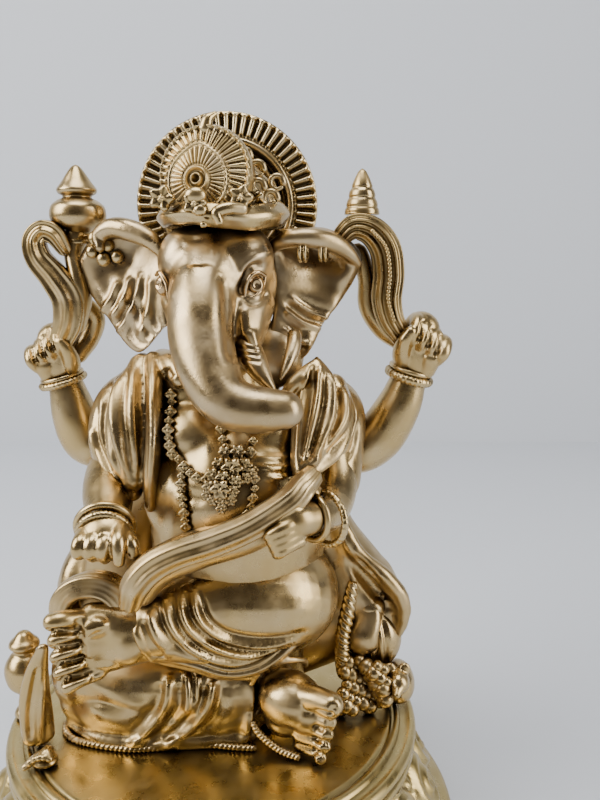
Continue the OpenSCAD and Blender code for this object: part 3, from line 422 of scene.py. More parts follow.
upper_toes = [(-32.3, 37.5, -26.6, 36.8, 2.2), (-31.9, 33.2, -26.4, 34.0, 2.0),
              (-31.7, 29.3, -25.8, 30.6, 1.9), (-31.3, 25.5, -25, 27.2, 1.8), (-29.9, 22.2, -23.8, 23.8, 1.7)]
sole = [limb([(-11, -20, 31.5, 6.8), (-16, -22.5, 31.3, 7.2, 5), (-21, -23.5, 31.2, 8.2, 4.6),
              (-24.5, -24.5, 31.2, 8.6, 4)]), ball((-23, -26, 34.8), (4, 3, 3.2)),
        ball((-16.5, -25, 30), (4.4, 3, 4.8))]
sole += [limb([(xb + 1, -25.5, zb, r), (xb - 2.6, -28.4, (zb + zt) / 2 + 0.5, r - 0.1),
               (xt + 1, -29, zt, r - 0.05)], along=16) for xt, zt, xb, zb, r in upper_toes]
sole = carve(knit(sole, 0.4, 4),
             [([(xb + 1, -28, zb - 1.9), (xt - 1, -29, zt - 1.9)], 0.7, -1.25) for xt, zt, xb, zb,
              r in upper_toes[:4]]
             + [([(xb + 0.6, -28, zb + 1.2), (xb + 0.4, -28, zb - 1.2)], 0.7, -0.5) for xt, zt, xb, zb,
                r in upper_toes] + [([(-22.5, -28, 35.5), (-21, -28, 31), (-21.5, -28, 26)], 2.2, -0.7)])
put("upper_foot", sole, ["upper_foot"], figure_gold)

# ---------- Dhoti: cuff, drape and hem ----------
# Small castings of gathered cloth are glued where the dhoti leaves the legs: ringed folds round the upper
# ankle, folds that hang over the lower leg, and a twisted cord where the cloth meets the floor.

cloth_gold = lacquer("cloth_gold", (0.55, 0.395, 0.18), (0.075, 0.04, 0.014), rough=0.29, wear=0.45,
                     grain=0.2)
t = np.linspace(np.radians(200), np.radians(-38), 15)
cuff = [limb(np.stack([-24.8 + (r + 0.4) * np.cos(t), -24.2 + 0.28 * (r - 3.4) + 0 * t, 37.2 + r * 0.89
                       * np.sin(t), 0.8 + 0 * t], -1), along=40) for r in (4.7, 5.9, 7.1, 8.3)]
cuff += [limb(np.stack([-24.8 + (r + 0.6) * np.cos(t), -20.8 + 0.2 * (r - 3.4) + 0 * t, 37 + r * 0.86
                        * np.sin(t), 1.7 + 0 * t], -1), along=40) for r in (6.2, 7.4)]
cuff += [limb(np.stack([-24.8 + 6.8 * np.cos(t), -17.4 + 0 * t, 36.6 + 5.8 * np.sin(t), 2.0 + 0 * t], -1),
              along=40)]
cuff += [ball((-24.6, -14.4, 36.5), (7.6, 2.6, 6.6)), ball((-17.6, -19.6, 35), (3.4, 3.4, 4.4))]
put("ankle_cuff", knit(cuff, 0.35, 1), ["ankle_cuff"], cloth_gold)

drape = knit([limb([(-14, -20.5, 26.4, 1.8), (-3, -22, 25, 1.9), (4.6, -21.6, 22.2, 2.0),
                    (12.2, -19.8, 22.3, 2.0), (19.2, -16.6, 25.8, 1.9), (23, -13, 29.6, 1.7)]),
              limb([(-12, -20, 24.4, 1.3), (-3, -20.6, 22.6, 1.4), (4, -20.4, 20.4, 1.4),
                    (11, -19, 19.4, 1.3)]),
              limb([(10.6, -18.8, 17, 0.7), (11.8, -19.4, 19.6, 0.8), (14, -19.4, 21.6, 0.8),
                    (18, -18.2, 22.4, 0.8), (21.4, -16.2, 21.6, 0.8), (23, -13.4, 19.6, 0.8),
                    (23.2, -9.6, 16.5, 0.7)])], 0.35, 3)
drape = carve(drape,
              [([(-10, -24, 27), (-1, -24, 24.6), (6, -24, 22.4), (13, -22, 23), (20, -18, 27)], 0.5, -0.6)])
put("dhoti_drape", drape, ["dhoti_drape"], cloth_gold)


def cord(rows, twists, strands=2, along=240, around=14):
    """A twisted cord: a circle whose radius swells at each strand, and the strands turn as it runs along."""
    rows = smooth_line(rows, along)
    run = unit(np.gradient(rows[:, :3], axis=0))
    side = unit(np.cross(run, (0.02, -0.1, 1.0)))
    out = np.cross(side, run)
    a = np.linspace(0, 2 * np.pi, around, endpoint=False)[None]
    s = np.linspace(0, 1, along)[:, None]
    end = np.sqrt(np.clip(1 - (2 * np.abs(s - 0.5)) ** 60, 0.01, 1))
    r = rows[:, 3:4] * end * (0.78 + 0.3 * np.abs(np.cos(strands / 2 * a - 2 * np.pi * twists * s)))
    return closed(rows[:, None, :3] + side[:, None] * (r * np.cos(a))[..., None] + out[:, None]
                  * (r * np.sin(a))[..., None])


hem = cord([(-36.6, -9, 0.8, 0.8), (-35, -13.4, 0.8, 0.85), (-31, -16.8, 0.8, 0.85), (-20, -19.6, 0.8, 0.85),
            (-11, -19.4, 0.9, 0.85), (-1.5, -18.6, 1.2, 0.85), (7, -19.2, 0.9, 0.85),
            (11.7, -19.6, 0.9, 0.8)], 24)
hem2 = cord([(10.6, -18.8, 7.4, 0.8), (12.6, -20.2, 4.8, 0.9), (17.1, -22, 2.2, 0.9), (22, -23.4, 1.0, 0.85)],
            8, along=90)
put("dhoti_hem", together(hem, hem2), ["dhoti_hem"], cloth_gold)

# ---------- Back cape ----------
# A broad cape casting closes the back. It hangs in long soft folds from the shoulders and flares out over
# the base in a heavy lower lip.

CAPE_FOOT = 0.6
cape = [limb([(-8, 13, 14, 13), (-30, 12, 24, 12.5), (-27, 12, 36, 12), (-19, 10, 56, 11), (-6, 11, 68, 11)]),
        limb([(16, 13, 14, 13), (37, 12, 23, 12), (35, 11, 30, 11), (27.6, 11, 42, 9.6), (23, 10, 55, 9),
              (14, 11, 68, 10)])]
cape += [ball((4, 14, 18), (32, 16, 15)), ball((4, 13, 40), (25, 13, 26)),
         limb([(36, 8, 32, 7), (41, 5, 24, 6.5), (38, 1, 19, 5.5)]),
         limb([(31.6, 3, 51, 1.6), (36.6, 1, 41, 2.2), (43, -0.4, 35.4, 2.6), (47.4, 0, 29.6, 2.5),
               (48.2, 1, 23, 2.0), (46, 2, 15.6, 1.0)])]
folds = [([(4 + x, 30, 66), (4 + 1.25 * x, 32, 40), (4 + 1.6 * x, 30, 8)], 2.6, 1.5)
         for x in (-20, -12, -4, 4, 12, 20)]
folds += [([(4 + x, 30, 60), (4 + 1.25 * x, 32, 40), (4 + 1.6 * x, 30, 12)], 1.8, -1.5)
          for x in (-16, -8, 0, 8, 16)]
cape = carve(knit(cape, 0.9, 8), folds, toward=unit((0, 1, 0.1)), reach=16)
cape = carve(cape,
             [([(-34, 2, 52), (-38, 2, 40), (-40, 2, 28)], 2.2, 1.0),
              ([(-31, 2, 50), (-34.5, 2, 38), (-36, 2, 28)], 1.6, -1.0),
              ([(34.6, 0, 41), (40.6, -2, 33.4), (44.4, -2, 27), (43.8, -2, 17)], 1.7, -2.0),
              ([(30, 0, 52), (33.5, -2, 42), (36.5, -2, 33)], 1.5, 0.9)], reach=16)
cape[0][:, 2] = np.maximum(cape[0][:, 2], CAPE_FOOT)
put("back_cape", cape, ["back_cape"], cloth_gold)

# ---------- Shawls ----------
# A shawl lies over each shoulder and is modelled with the torso's edges tucked under it. Its folds run down
# and gather to a point in front of the arm, and the left one stands up in a folded tip beside the trunk.

right_shawl = knit([limb([(-16, 2, 84, 6.5), (-19.5, 1, 78, 9), (-20.5, -2, 70, 8.6), (-18.5, -8, 64, 5.6),
                          (-17, -12, 61.5, 2.4)]),
                    limb([(-15.5, -2, 89, 3.6), (-17.5, -8, 80, 5.4), (-17.5, -11, 71, 4.8),
                          (-16.4, -13.5, 64.5, 2.4)]),
                    limb([(-12.6, -3, 91, 2.1, 2.4), (-11.4, -10, 85, 2, 3.4), (-11, -13.5, 76, 2, 4),
                          (-11.8, -14.5, 67, 1.9, 4), (-12.2, -14, 59, 1.6, 3)]),
                    limb([(-11, 0, 90, 3.4), (-7.5, -6, 90, 3.2), (-5.5, -10, 87.5, 2.4)])], 0.5, 4)
right_shawl = carve(right_shawl, [
    ([(-20.6, -4, 89), (-20.9, -10, 78.8), (-17.2, -16, 65)], 1.1, 1.0),
    ([(-18.6, -4, 89), (-18.4, -10, 78.8), (-16, -16, 66)], 0.8, -0.8),
    ([(-16.9, -6, 90.3), (-16.0, -14, 79.6), (-14.8, -16, 66)], 0.9, 0.9),
    ([(-22.6, -4, 85), (-22.4, -8, 76), (-18, -16, 65.4)], 0.8, -0.9),
    ([(-24.4, -2, 83), (-24.2, -8, 74), (-19, -15, 64.8)], 1.0, 1.0),
    ([(-26, -2, 80), (-25.6, -6, 72.5), (-20, -13, 64.4)], 0.8, -0.8),
    ([(-27.8, -2, 75), (-26.2, -6, 69), (-19.5, -14, 63.4)], 1.0, 1.1),
    ([(-27.5, -2, 70), (-24.3, -8, 65.4), (-18.8, -14, 62.2)], 0.7, -0.7),
    ([(-14.2, -8, 91), (-13.2, -16, 84), (-13.1, -16, 75.7), (-13.3, -16, 62)], 1.3, -0.65),
    ([(-11.3, -14, 86), (-10.8, -17, 76), (-11.6, -17, 64)], 0.7, 0.6),
    ([(-9, -10, 90), (-7.5, -12, 88)], 1.2, -0.9)])
put("right_shawl", right_shawl, ["right_shawl"], cloth_gold)

left_shawl = knit([limb([(26, 6, 82, 6), (29.6, 4, 77, 8.2), (29.8, 2, 69, 8), (29.4, -2, 62, 7.4)]),
                   limb([(25.8, -9, 92, 0.7), (26.2, -9.6, 89.6, 2.3), (26.6, -10.4, 86, 3.6),
                         (25.6, -12.5, 80, 4.4), (23.8, -16, 73, 3.6), (22.2, -19, 68.5, 2.2)]),
                   limb([(18.6, -12.4, 84.4, 1.3), (20.6, -12, 86.8, 1.8), (23.6, -10.8, 89.4, 1.7),
                         (25.6, -9.6, 91.6, 0.8)]),
                   limb([(29.8, -3, 84.4, 3.4), (30.2, -7, 79, 4.6), (28, -12, 73, 4.2),
                         (23.6, -17.5, 68.4, 2.2)]),
                   limb([(22, -9, 86.5, 1.6), (22.8, -12, 82, 2.6), (22.4, -14.5, 76, 2.6),
                         (21.4, -18, 70, 1.8)])], 0.5, 4)
left_shawl = carve(left_shawl, [
    ([(24, -12, 91), (22.6, -16, 84.3), (21.6, -22, 69.4)], 0.7, 0.9),
    ([(25, -12, 90), (24, -15, 84), (22, -22, 70)], 0.7, -1.5),
    ([(26.4, -10, 91), (25.8, -14, 84), (22.5, -22, 69.4)], 0.8, 1.0),
    ([(27.2, -10, 88), (27, -14, 81), (23, -20, 70)], 0.7, -1.3),
    ([(28.4, -8, 88.7), (28.4, -14, 79.6), (23.4, -20, 68.9)], 0.8, 1.1),
    ([(30.2, -6, 86), (30, -12, 78.5), (24.8, -18, 70.3)], 0.7, -1.1),
    ([(31.8, -4, 85), (31.7, -10, 77.9), (26.3, -16, 72.2), (23.2, -20, 68.4)], 0.9, 1.1),
    ([(33.6, -2, 83), (33.6, -6, 76), (27.4, -14, 70.4)], 0.7, -1.0),
    ([(34, 0, 81.5), (34.4, -4, 74.4), (28.6, -14, 68.8), (23.6, -18, 67)], 0.9, 1.0),
    ([(35.2, 0, 76), (34.4, -4, 69.5), (29, -12, 66.4)], 0.8, -0.8)])
put("left_shawl", left_shawl, ["left_shawl"], cloth_gold)

# ---------- Sash ----------
# A folded sash is a separate casting laid across the lap. It runs from the left hand down over the upper
# ankle, with four long pleats, and its end curls over in front of the cuff.

a = np.linspace(0, 2 * np.pi, 72, endpoint=False)
pleats = np.stack([np.cos(a), np.sin(a) * (1 + 0.11 * np.cos(7 * a) * (np.sin(a) > 0))], -1)
sash = carried(pleats,
               [(24.8, -20.8, 68, 2.5, 2), (22.8, -23.4, 66.4, 3.0, 2.3), (19.8, -25.6, 63.6, 3.2, 2.5),
                (11.7, -28, 58.9, 3.2, 2.6), (3.7, -28.8, 55.6, 3.3, 2.6), (-4.3, -29.6, 53.1, 3.3, 2.6),
                (-9.6, -30, 50.2, 3.4, 2.6), (-13, -30.2, 46.2, 3.2, 2.5), (-14.6, -28.8, 41.6, 2.5, 2.1)],
               along=110, blunt=(0.5, 0.8))
lining = limb([(24, -18, 62.4, 3.2), (12, -22, 55.6, 4.2), (0, -23.4, 52, 4.4), (-9, -24, 48, 4.2),
               (-13, -23.5, 42, 3.2)])
put("sash", together(sash, lining), ["sash"], cloth_gold)

# ---------- Rear arms and fists ----------
# Each rear arm is a casting from the shoulder to the wrist with its fist. The fists are closed round the
# stems that they hold: four curled fingers outside, the thumb and the heel of the hand inside.

right_arm = knit([limb([(-19, 9, 74, 7), (-27, 9.5, 68.5, 6.2), (-32.6, 9.5, 68.5, 6.2),
                        (-35.4, 8.8, 75, 5.8), (-37.4, 8, 84.5, 4.1)])], 0.5, 4)
put("right_rear_arm", right_arm, ["right_rear_arm"], figure_gold)
left_arm = knit([limb([(28, 9, 73, 8), (35.5, 9.5, 66.5, 6.6), (42, 9.4, 69.6, 6.5), (46.8, 8.5, 77.5, 5.7),
                       (49.4, 8, 85, 4.5)])], 0.5, 4)
put("left_rear_arm", left_arm, ["left_rear_arm"], figure_gold)


def fist(at, s, size=1.0):
    """A fist: a broad palm on the wrist, four short curled fingers down its outer edge, and the thumb."""
    parts = [([-0.6 * s, 0.5, -7, 4], [0, 0.6, -3, 5], [s * 0.6, 0.8, 1.6, 5.4], [s * 0.8, 0.8, 4, 4.6]),
             ([s * 2, 0.8, -2.6, 4], [s * 4.6, 0.8, -0.4, 3.6])]
    parts += [([s * (2.2 * i - 0.4), 1.4, 6.6 - 1.75 * i, 1.8],
               [s * (2.25 * i - 0.6), -2.4, 6.2 - 1.75 * i, 1.8],
               [s * (2.2 * i - 1.3), -4.4, 3.8 - 1.6 * i, 1.7], [s * (2.1 * i - 2), -3.6, 1.8 - 1.5 * i, 1.5])
              for i in range(4)]
    parts += [([-s * 2.6, 0, -4.6, 2.6], [-s * 4.2, -2.6, -1.6, 2.3], [-s * 3.9, -4.4, 1.8, 1.9],
               [-s * 2.6, -5, 4, 1.5]), ([s * 1.6, -1.4, -5, 2.8], [s * 2.6, -2.6, -2.4, 2.8])]
    shells = [limb([[at[0] + size * p[0], at[1] + size * p[1], at[2] + size * p[2], size * p[3]]
                    for p in part], along=20) for part in parts]
    cuts = [([(at[0] + s * (2.25 * i + 0.6), at[1] - 3, at[2] + 7.4 - 1.75 * i),
              (at[0] + s * (2.2 * i + 0.1), at[1] - 6, at[2] + 4.6 - 1.7 * i),
              (at[0] + s * (2.1 * i - 0.8), at[1] - 6, at[2] + 1.6 - 1.6 * i)], 0.5, -0.9) for i in range(3)]
    return carve(knit(shells, 0.32, 3), cuts)


put("right_rear_fist", fist((-38.6, 7.5, 90.8), -1, 0.96), ["right_rear_fist"], figure_gold)
put("left_rear_fist", fist((51.2, 7, 93), 1, 1.03), ["left_rear_fist"], figure_gold)

# ---------- Front arms and hands ----------
# The front arms come out from under the shawls. The right hand rests palm down on the upper leg with its
# first finger less curled than the others, and the left hand lies on the thigh under the end of the sash.

right_arm = knit([limb([(-22.5, 0, 66, 7), (-23.2, -8, 61.5, 6.2), (-22, -15, 58.5, 5.4),
                        (-20.8, -21, 56.5, 4.4)])], 0.45, 4)
put("right_front_arm", right_arm, ["right_front_arm"], figure_gold)
hand = [limb([(-20.6, -21, 57, 4.4), (-20.4, -24, 56.2, 5.4, 3.6), (-20.2, -26, 53.4, 5.6, 3.2)],
             ref=(0, -0.6, 0.8)),
        limb([(-16.6, -24, 55.5, 2), (-14.6, -26.4, 54.6, 1.8), (-13.6, -27, 52.2, 1.5)], along=16)]
hand += [limb([(x, -25.4, 56.2, 1.7), (x - 0.3, -28.2, 55, 1.7), (x - 0.6, -28.8, 53.2, 1.5),
               (x - 0.4, -27.6, z + 1.8, 1.3)], along=20) for x,
         z in ((-24.6, 50.6), (-22, 50), (-19.4, 49.6))]
hand += [limb([(-16.9, -25.4, 57, 1.7), (-16.6, -28.2, 55.6, 1.7), (-16.4, -29.2, 53.6, 1.5),
               (-16.3, -29.4, 51.4, 1.25)], along=20)]
put("right_front_hand", knit(hand, 0.32, 3), ["right_front_hand"], figure_gold)

left_arm = knit([limb([(28.6, 0, 67, 7), (29.2, -5, 61, 6.5), (28, -11, 57.8, 5.9), (25.6, -18, 58, 4.8),
                       (23.6, -22, 58.6, 4)])], 0.45, 4)
put("left_front_arm", left_arm, ["left_front_arm"], figure_gold)
hand = [limb([(23.8, -22.5, 58.8, 3.9), (21, -24.6, 59, 4.1), (18.6, -26, 58.8, 3.4)]),
        limb([(22.4, -24.6, 61.4, 1.6), (19.8, -26.6, 62.4, 1.6), (17.6, -27.8, 61.2, 1.3)], along=16)]
hand += [limb([(22, -25.8, 59.8 - 1.7 * i, 1.4), (18.8, -28.6, 58.8 - 1.6 * i, 1.45),
               (15.6 + 0.6 * i, -29, 57.2 - 1.35 * i, 1.35), (15 + 0.6 * i, -27.4, 56.2 - 1.3 * i, 1.1)],
              along=20) for i in range(4)]
put("left_front_hand", knit(hand, 0.32, 3), ["left_front_hand"], figure_gold)

# ---------- Bangles ----------
# Each wrist has two thin rings laid side by side, one nicked like cord and one plain, standing proud of it.

ornament_gold = lacquer("ornament_gold", (0.60, 0.44, 0.20), (0.06, 0.03, 0.01), rough=0.24, wear=0.5,
                        reach=2.5)


def hoop(centre, axis, major, minor, nicks=0, around=96, across=14):
    """A ring: a small circle carried round a big one that stands square to its axis, nicked like cord."""
    axis = unit(axis)
    u = unit(np.cross(axis, (0.1, 0.2, 1.0)))
    v = np.cross(axis, u)
    a = np.linspace(0, 2 * np.pi, around, endpoint=False)[:, None]
    b = np.linspace(0, 2 * np.pi, across, endpoint=False)[None]
    r = minor * (1 + 0.14 * np.cos(nicks * a + b))
    spoke = np.cos(a)[..., None] * u + np.sin(a)[..., None] * v
    pipe = spoke * (major + r * np.cos(b))[..., None] + axis * (r * np.sin(b))[..., None]
    return looped(np.asarray(centre, float) + pipe)


put("rear_bangles",
    together(hoop((-37.8, 7.8, 84.4), (-0.25, -0.1, 1), 5.2, 0.85, 30),
             hoop((-38, 7.8, 85.7), (-0.25, -0.1, 1), 4.8, 0.6),
             hoop((49.3, 7.8, 85.6), (0.28, -0.1, 1), 5.1, 1.1, 30),
             hoop((49.7, 7.8, 87.3), (0.28, -0.1, 1), 4.8, 0.7)), ["rear_bangles"],
    ornament_gold)
put("right_front_bangles",
    together(hoop((-21, -22.8, 55.2), (0.12, -0.85, -0.35), 5.5, 0.85, 36),
             hoop((-21.3, -20.8, 56.2), (0.12, -0.85, -0.35), 5.9, 0.9)), ["right_front_bangles"],
    ornament_gold)
put("left_front_bangle",
    together(hoop((24.6, -20.8, 58.2), (-0.75, -0.66, 0.05), 4.9, 0.8),
             hoop((27.8, -19.6, 57.6), (-0.75, -0.66, 0.05), 5.8, 0.8, 30)), ["left_front_bangle"],
    ornament_gold)

# ---------- Necklace, pendant and bead strands ----------
# Chains of small pierced links are set round the neck and down the chest, and a spray of little flowers
# hangs in the middle. They are cast in one strip each and glued into a shallow bed.


def blossom(petals, rings=4, around=24):
    """A small flower, facing -Y: a domed disc whose rim swells at each petal, with a hollow round its heart."""
    a = np.linspace(0, 2 * np.pi, around, endpoint=False)[None]
    r = np.concatenate([np.linspace(0.12, 1, rings), [0.9]])[:, None]
    lobe = 1 + 0.16 * np.cos(petals * a)
    rise = np.concatenate([[0.75, 0.3, 0.62, 0.3][:rings], [-0.5]])[:, None]
    rise = rise + 0.12 * np.cos(petals * a) * r
    return closed(np.stack([r * lobe * np.cos(a), -rise, r * lobe * np.sin(a)], -1)[::-1][:, ::-1])


def strewn(shape, places, sizes):
    """One low shape repeated at many places, each at its own size, as one list of points and faces."""
    points, faces = shape
    places, sizes = np.asarray(places, float), np.asarray(sizes, float)
    many = (points[None] * sizes[:, None, None] + places[:, None]).reshape(-1, 3)
    return many, [[i + n * len(points) for i in q] for n in range(len(places)) for q in faces]


def on_skin(skin, spots, lift):
    """Moves spots of (x, z) onto the front of a skin: the most forward point near each, less a lift."""
    points = skin[0]
    spots = np.asarray(spots, float)
    near = (np.abs(points[None, :, 0] - spots[:, None, 0]) < 1.1) & (np.abs(points[None, :, 2]
                                                                            - spots[:, None, 1]) < 1.1)
    y = np.where(near, points[None, :, 1], 99).min(1)
    return np.stack([spots[:, 0], np.where(y > 90, -16, y) - lift, spots[:, 1]], -1)


def chain(line, count):
    """Spots of (x, z) at even steps along a smooth line."""
    line = np.asarray(line, float)
    return smooth_line(np.column_stack([line[:, 0], 0 * line[:, 0], line[:, 1]]), count)[:, [0, 2]]


link = blossom(4, around=16)
collar = np.vstack([chain([(-7.6, 84), (-7.3, 81), (-7.5, 76), (-6.8, 71.8)], 8),
                    chain([(-6.6, 71.6), (-5, 70.6), (-3, 68.9), (-0.4, 67.6), (1.4, 67.4)], 6),
                    chain([(4.5, 77.4), (5, 75), (5.6, 73.4)], 3),
                    chain([(11.6, 75), (11, 72.6), (9.8, 71)], 3)])
bed = on_skin(body, collar, 0.5)
put("necklace", strewn(link, bed, 1.15 + 0.15 * np.cos(np.arange(len(bed)) * np.pi)), ["necklace"],
    ornament_gold)

sprays = [(7.3, 70.2, 2.3), (4.4, 70.8, 1.5), (10, 70.6, 1.6), (8.4, 73.2, 1.6), (5.6, 73, 1.4),
          (11.4, 69, 1.2), (3, 68.8, 1.5), (5.4, 68.3, 1.6), (8.2, 67.5, 1.5), (10.2, 68, 1.3),
          (2.4, 66.2, 1.5), (4.9, 65.9, 2.2), (7.5, 65.4, 1.4), (1.8, 64.4, 1.2), (3.2, 63.4, 1.3),
          (5.3, 63.2, 1.4), (7.1, 63.4, 1.2), (5, 61.6, 1.2)]
spots = on_skin(body, [s[:2] for s in sprays], 1.1)
spots[:, 1] -= 0.9 * np.exp(-((spots[:, 0] - 5.6) ** 2 + (spots[:, 2] - 68) ** 2) / 14)
backing = ball((6.4, spots[:, 1].mean() + 2.3, 67), (4.4, 1.8, 4.8), 40, 15)
put("pendant", together(strewn(blossom(6, around=30), spots, [s[2] for s in sprays]), backing), ["pendant"],
    ornament_gold)
drops = np.vstack([chain([(-4.1, 69), (-4.3, 64.5), (-3.6, 60.9), (-3.2, 56.4)], 9),
                   chain([(11.9, 69.4), (12.1, 65.4), (11.2, 61.6), (10.4, 60)], 6)])
put("bead_strands",
    strewn(link, on_skin(body, drops, 0.45), 1.05 + 0.14 * np.cos(np.arange(len(drops)) * np.pi)),
    ["bead_strands"], ornament_gold)

# ---------- Head and trunk ----------
# The head and trunk are one skin here: a skull with two forehead domes, full cheeks, and the trunk that runs
# down the chest and bends to the idol's left. Its lacquer is the most handled and is rubbed pale.

worn_gold = lacquer("worn_gold", (0.53, 0.39, 0.20), (0.08, 0.044, 0.018), rough=0.29, wear=0.5, grain=0.3)
elephant = [ball((3.4, 1, 109), (13.4, 12.5, 13.4)), ball((-3.4, -4, 113.8), (7.4, 8.5, 8.2)),
            ball((7.6, -3.4, 114.6), (8.4, 8.8, 8.2)),
            limb([(1.4, -3, 114, 9), (1.0, -7.0, 111, 8.8), (0.6, -10, 107, 8.2), (0.2, -12.6, 102.6, 7.6)],
                 ref=(0, -0.5, 0.8)), limb([(9, -5, 104, 7.2), (8.6, -8, 98, 5.6), (7.4, -9.5, 93, 4.6)]),
            limb([(-4, -5, 105, 6.2), (-3, -8, 99, 4.8)]),
            limb([(10, -8, 104, 5), (10.2, -11.4, 98.4, 3.8), (10.2, -12.6, 95.2, 3)]),
            limb([(6, -3, 96, 6.4), (6.4, -8, 91.5, 4.4)]),
            limb([(0.9, -5, 112.6, 6.4), (0.6, -9.6, 109.6, 7.2), (0.4, -13, 105.6, 7.4),
                  (0.3, -15.8, 101.4, 7.3), (0.7, -18.2, 97, 7.1), (2, -20.8, 92.4, 6.8),
                  (4, -23.4, 88.2, 6.2), (6.8, -25.4, 85.2, 5.7), (10.6, -26.2, 83.8, 5.3),
                  (15, -26.2, 83.4, 4.8), (18.6, -26, 83.4, 4.2)], ref=(0.3, -1, 0.4), along=70),
            limb([(20.6, -5.5, 97, 1.9), (20.4, -8.4, 94.6, 1.8), (19.2, -11, 91.4, 1.4),
                  (17.6, -13, 88, 0.7)]), ball((14.6, 2.4, 91.5), (8.4, 6.4, 8.5))]
elephant = carve(knit(elephant, 0.5, 16), [
    ([(5.4, -14, 111), (6.6, -17, 106), (7.2, -19, 99), (7.6, -21, 91.8)], 1.6, -1.0),
    ([(9.2, -12, 104), (9.6, -13, 99), (9.8, -14, 94)], 1.4, 0.6),
    ([(-0.4, -14, 121), (-0.4, -14, 117), (-0.4, -14, 112)], 3.0, -0.6),
    ([(8.2, -12, 108.6), (9, -12, 111.6), (11, -11, 114), (13.6, -9, 115.3), (15.6, -5, 115.6)], 1.1, 0.8),
    ([(8.9, -12, 106), (9.6, -12, 110.4), (11.2, -11, 112.8), (13.8, -9, 113)], 0.7, -1.1),
    ([(9.2, -12, 106.2), (11, -12, 104.6), (13.4, -10, 104.8), (14.8, -8, 107.6)], 0.6, -0.8),
    ([(8.4, -12, 97), (9.6, -12, 93), (11.4, -12, 89.4), (13.6, -12, 86.6)], 0.9, -1.5),
    ([(10.5, -10, 98), (11.6, -10, 93.6), (13, -10, 90.4)], 1.0, 0.8),
    ([(-10.2, -8, 111), (-9.6, -9, 107.8), (-7.8, -11, 104.4)], 0.8, -1.0),
    ([(-8.6, -9, 111.6), (-8, -10, 107.6), (-6.4, -12, 104)], 0.9, 0.5),
    ([(6, -30, 80.4), (10, -30, 79.6), (15, -30, 79.8)], 0.8, -0.3)])
put("head_and_trunk", elephant, ["head", "trunk"], worn_gold)

# ---------- Eyes ----------
# The eyes are small lacquered balls set into the sockets, with the iris and the lids cut round them.


def eye(centre, radii, gaze):
    """An eyeball: an egg shape with a shallow, flat-bottomed dent over the iris."""
    points, faces = ball(centre, radii, 64, 41)
    way = unit(points - np.asarray(centre, float))
    off = np.degrees(np.arccos(np.clip(way @ unit(gaze), -1, 1)))
    cut = 0.42 * np.exp(-((off / 27) ** 6))
    return points - way * cut[:, None], faces


def lid(points, width):
    """An eyelid: a thin rounded roll laid along the edge of the eye."""
    return limb([(*p, width) for p in points], along=30)


eye_gold = lacquer("eye_gold", (0.60, 0.42, 0.22), (0.05, 0.02, 0.01), rough=0.18, wear=0.1, grain=0.05,
                   reach=1.5)
left_eye = [eye((11.9, -10.0, 108.7), (2.1, 1.9, 2.4), (0.3, -0.93, 0.05)),
            lid([(9.7, -11.6, 106.2), (10.1, -12.2, 108.8), (11.2, -12.3, 110.9), (12.7, -11.4, 111.6),
                 (14.1, -9.6, 110.8)], 0.42),
            lid([(9.7, -11.6, 106.2), (11, -11.9, 106), (12.6, -11.2, 106.9), (13.7, -10, 108.6),
                 (14.1, -9.5, 110.8)], 0.36)]
right_eye = [eye((-8.6, -9.4, 108.6), (1.9, 1.9, 2.4), (-0.6, -0.8, 0.1)),
             lid([(-10.4, -8, 111), (-9.2, -10.6, 111.4), (-7.6, -12, 109), (-7.0, -12.6, 106)], 0.5)]
put("eyes", together(*left_eye, *right_eye), ["eyes"], eye_gold)

# ---------- Tusk ----------
# One whole tusk stands out beside the trunk. Its root is broad and wrinkled where it leaves the cheek.

tusk = carve(knit([limb([(10, -12, 95.6, 3.0), (11.2, -14.4, 93.2, 3.0), (12.8, -16.4, 90.6, 2.5),
                         (14.6, -18, 88.2, 1.6), (16.2, -19.2, 86.4, 0.7)])], 0.3, 3),
             [([(8, -17, z + 0.8), (13.4, -17, z)], 0.5, -0.4) for z in (95, 93.6, 92.2)])
put("tusk", tusk, ["tusk"], worn_gold)

# ---------- Ears ----------
# The ears are thin dished castings pinned to the sides of the head, with a rolled upper edge and soft folds
# that run from the root to the lower edge.


def ear(root, edge, thick, shape, rows=70, columns=90):
    """A leaf between a root line and an edge line: rows run from root to edge, on the front and back.

    The front is moved forward by shape(across, down), the back follows it, and they meet at the rim."""
    root, edge = smooth_line(root, columns), smooth_line(edge, columns)
    down = np.linspace(0, 1, columns)[:, None]
    u = (1 - np.cos(np.linspace(0, np.pi, rows))) / 2
    across = np.concatenate([u, u[::-1][1:-1]])[None]
    back = np.concatenate([np.zeros(rows), np.ones(rows - 2)])[None]
    points = root[:, None, :3] * (1 - across[..., None]) + edge[:, None, :3] * across[..., None]
    lens = np.sqrt(np.clip(1 - (2 * across - 1) ** 8, 0, 1))
    ends = np.clip(np.minimum(down, 1 - down) / 0.04, 0.05, 1)
    forward = shape(across, down) * (1 - 0.35 * back) + thick * lens * ends * (0.5 - back)
    points = points - forward[..., None] * np.array([0, 1.0, 0])
    return closed(points)


def hump(x, at, width):
    """A soft bump of height 1 at a value, falling off with its width."""
    return np.exp(-(((x - at) / width) ** 2))


def left_form(across, down):
    """A thick roll along the top edge, a bowl under it, and folds fanning to the lower edge."""
    dish = -4.2 * hump(across, 0.52, 0.26) * hump(down, 0.22, 0.24)
    roll = 3.4 * hump(across, 0.88, 0.12) * np.clip(1.5 - 2.5 * down, 0, 1)
    folds = np.clip((down - 0.42) / 0.15, 0, 1) * across * 0.7 * np.cos(2 * np.pi * (down * 6 - 0.7 * across))
    return dish + roll + folds * (1 - hump(down, 1, 0.08))


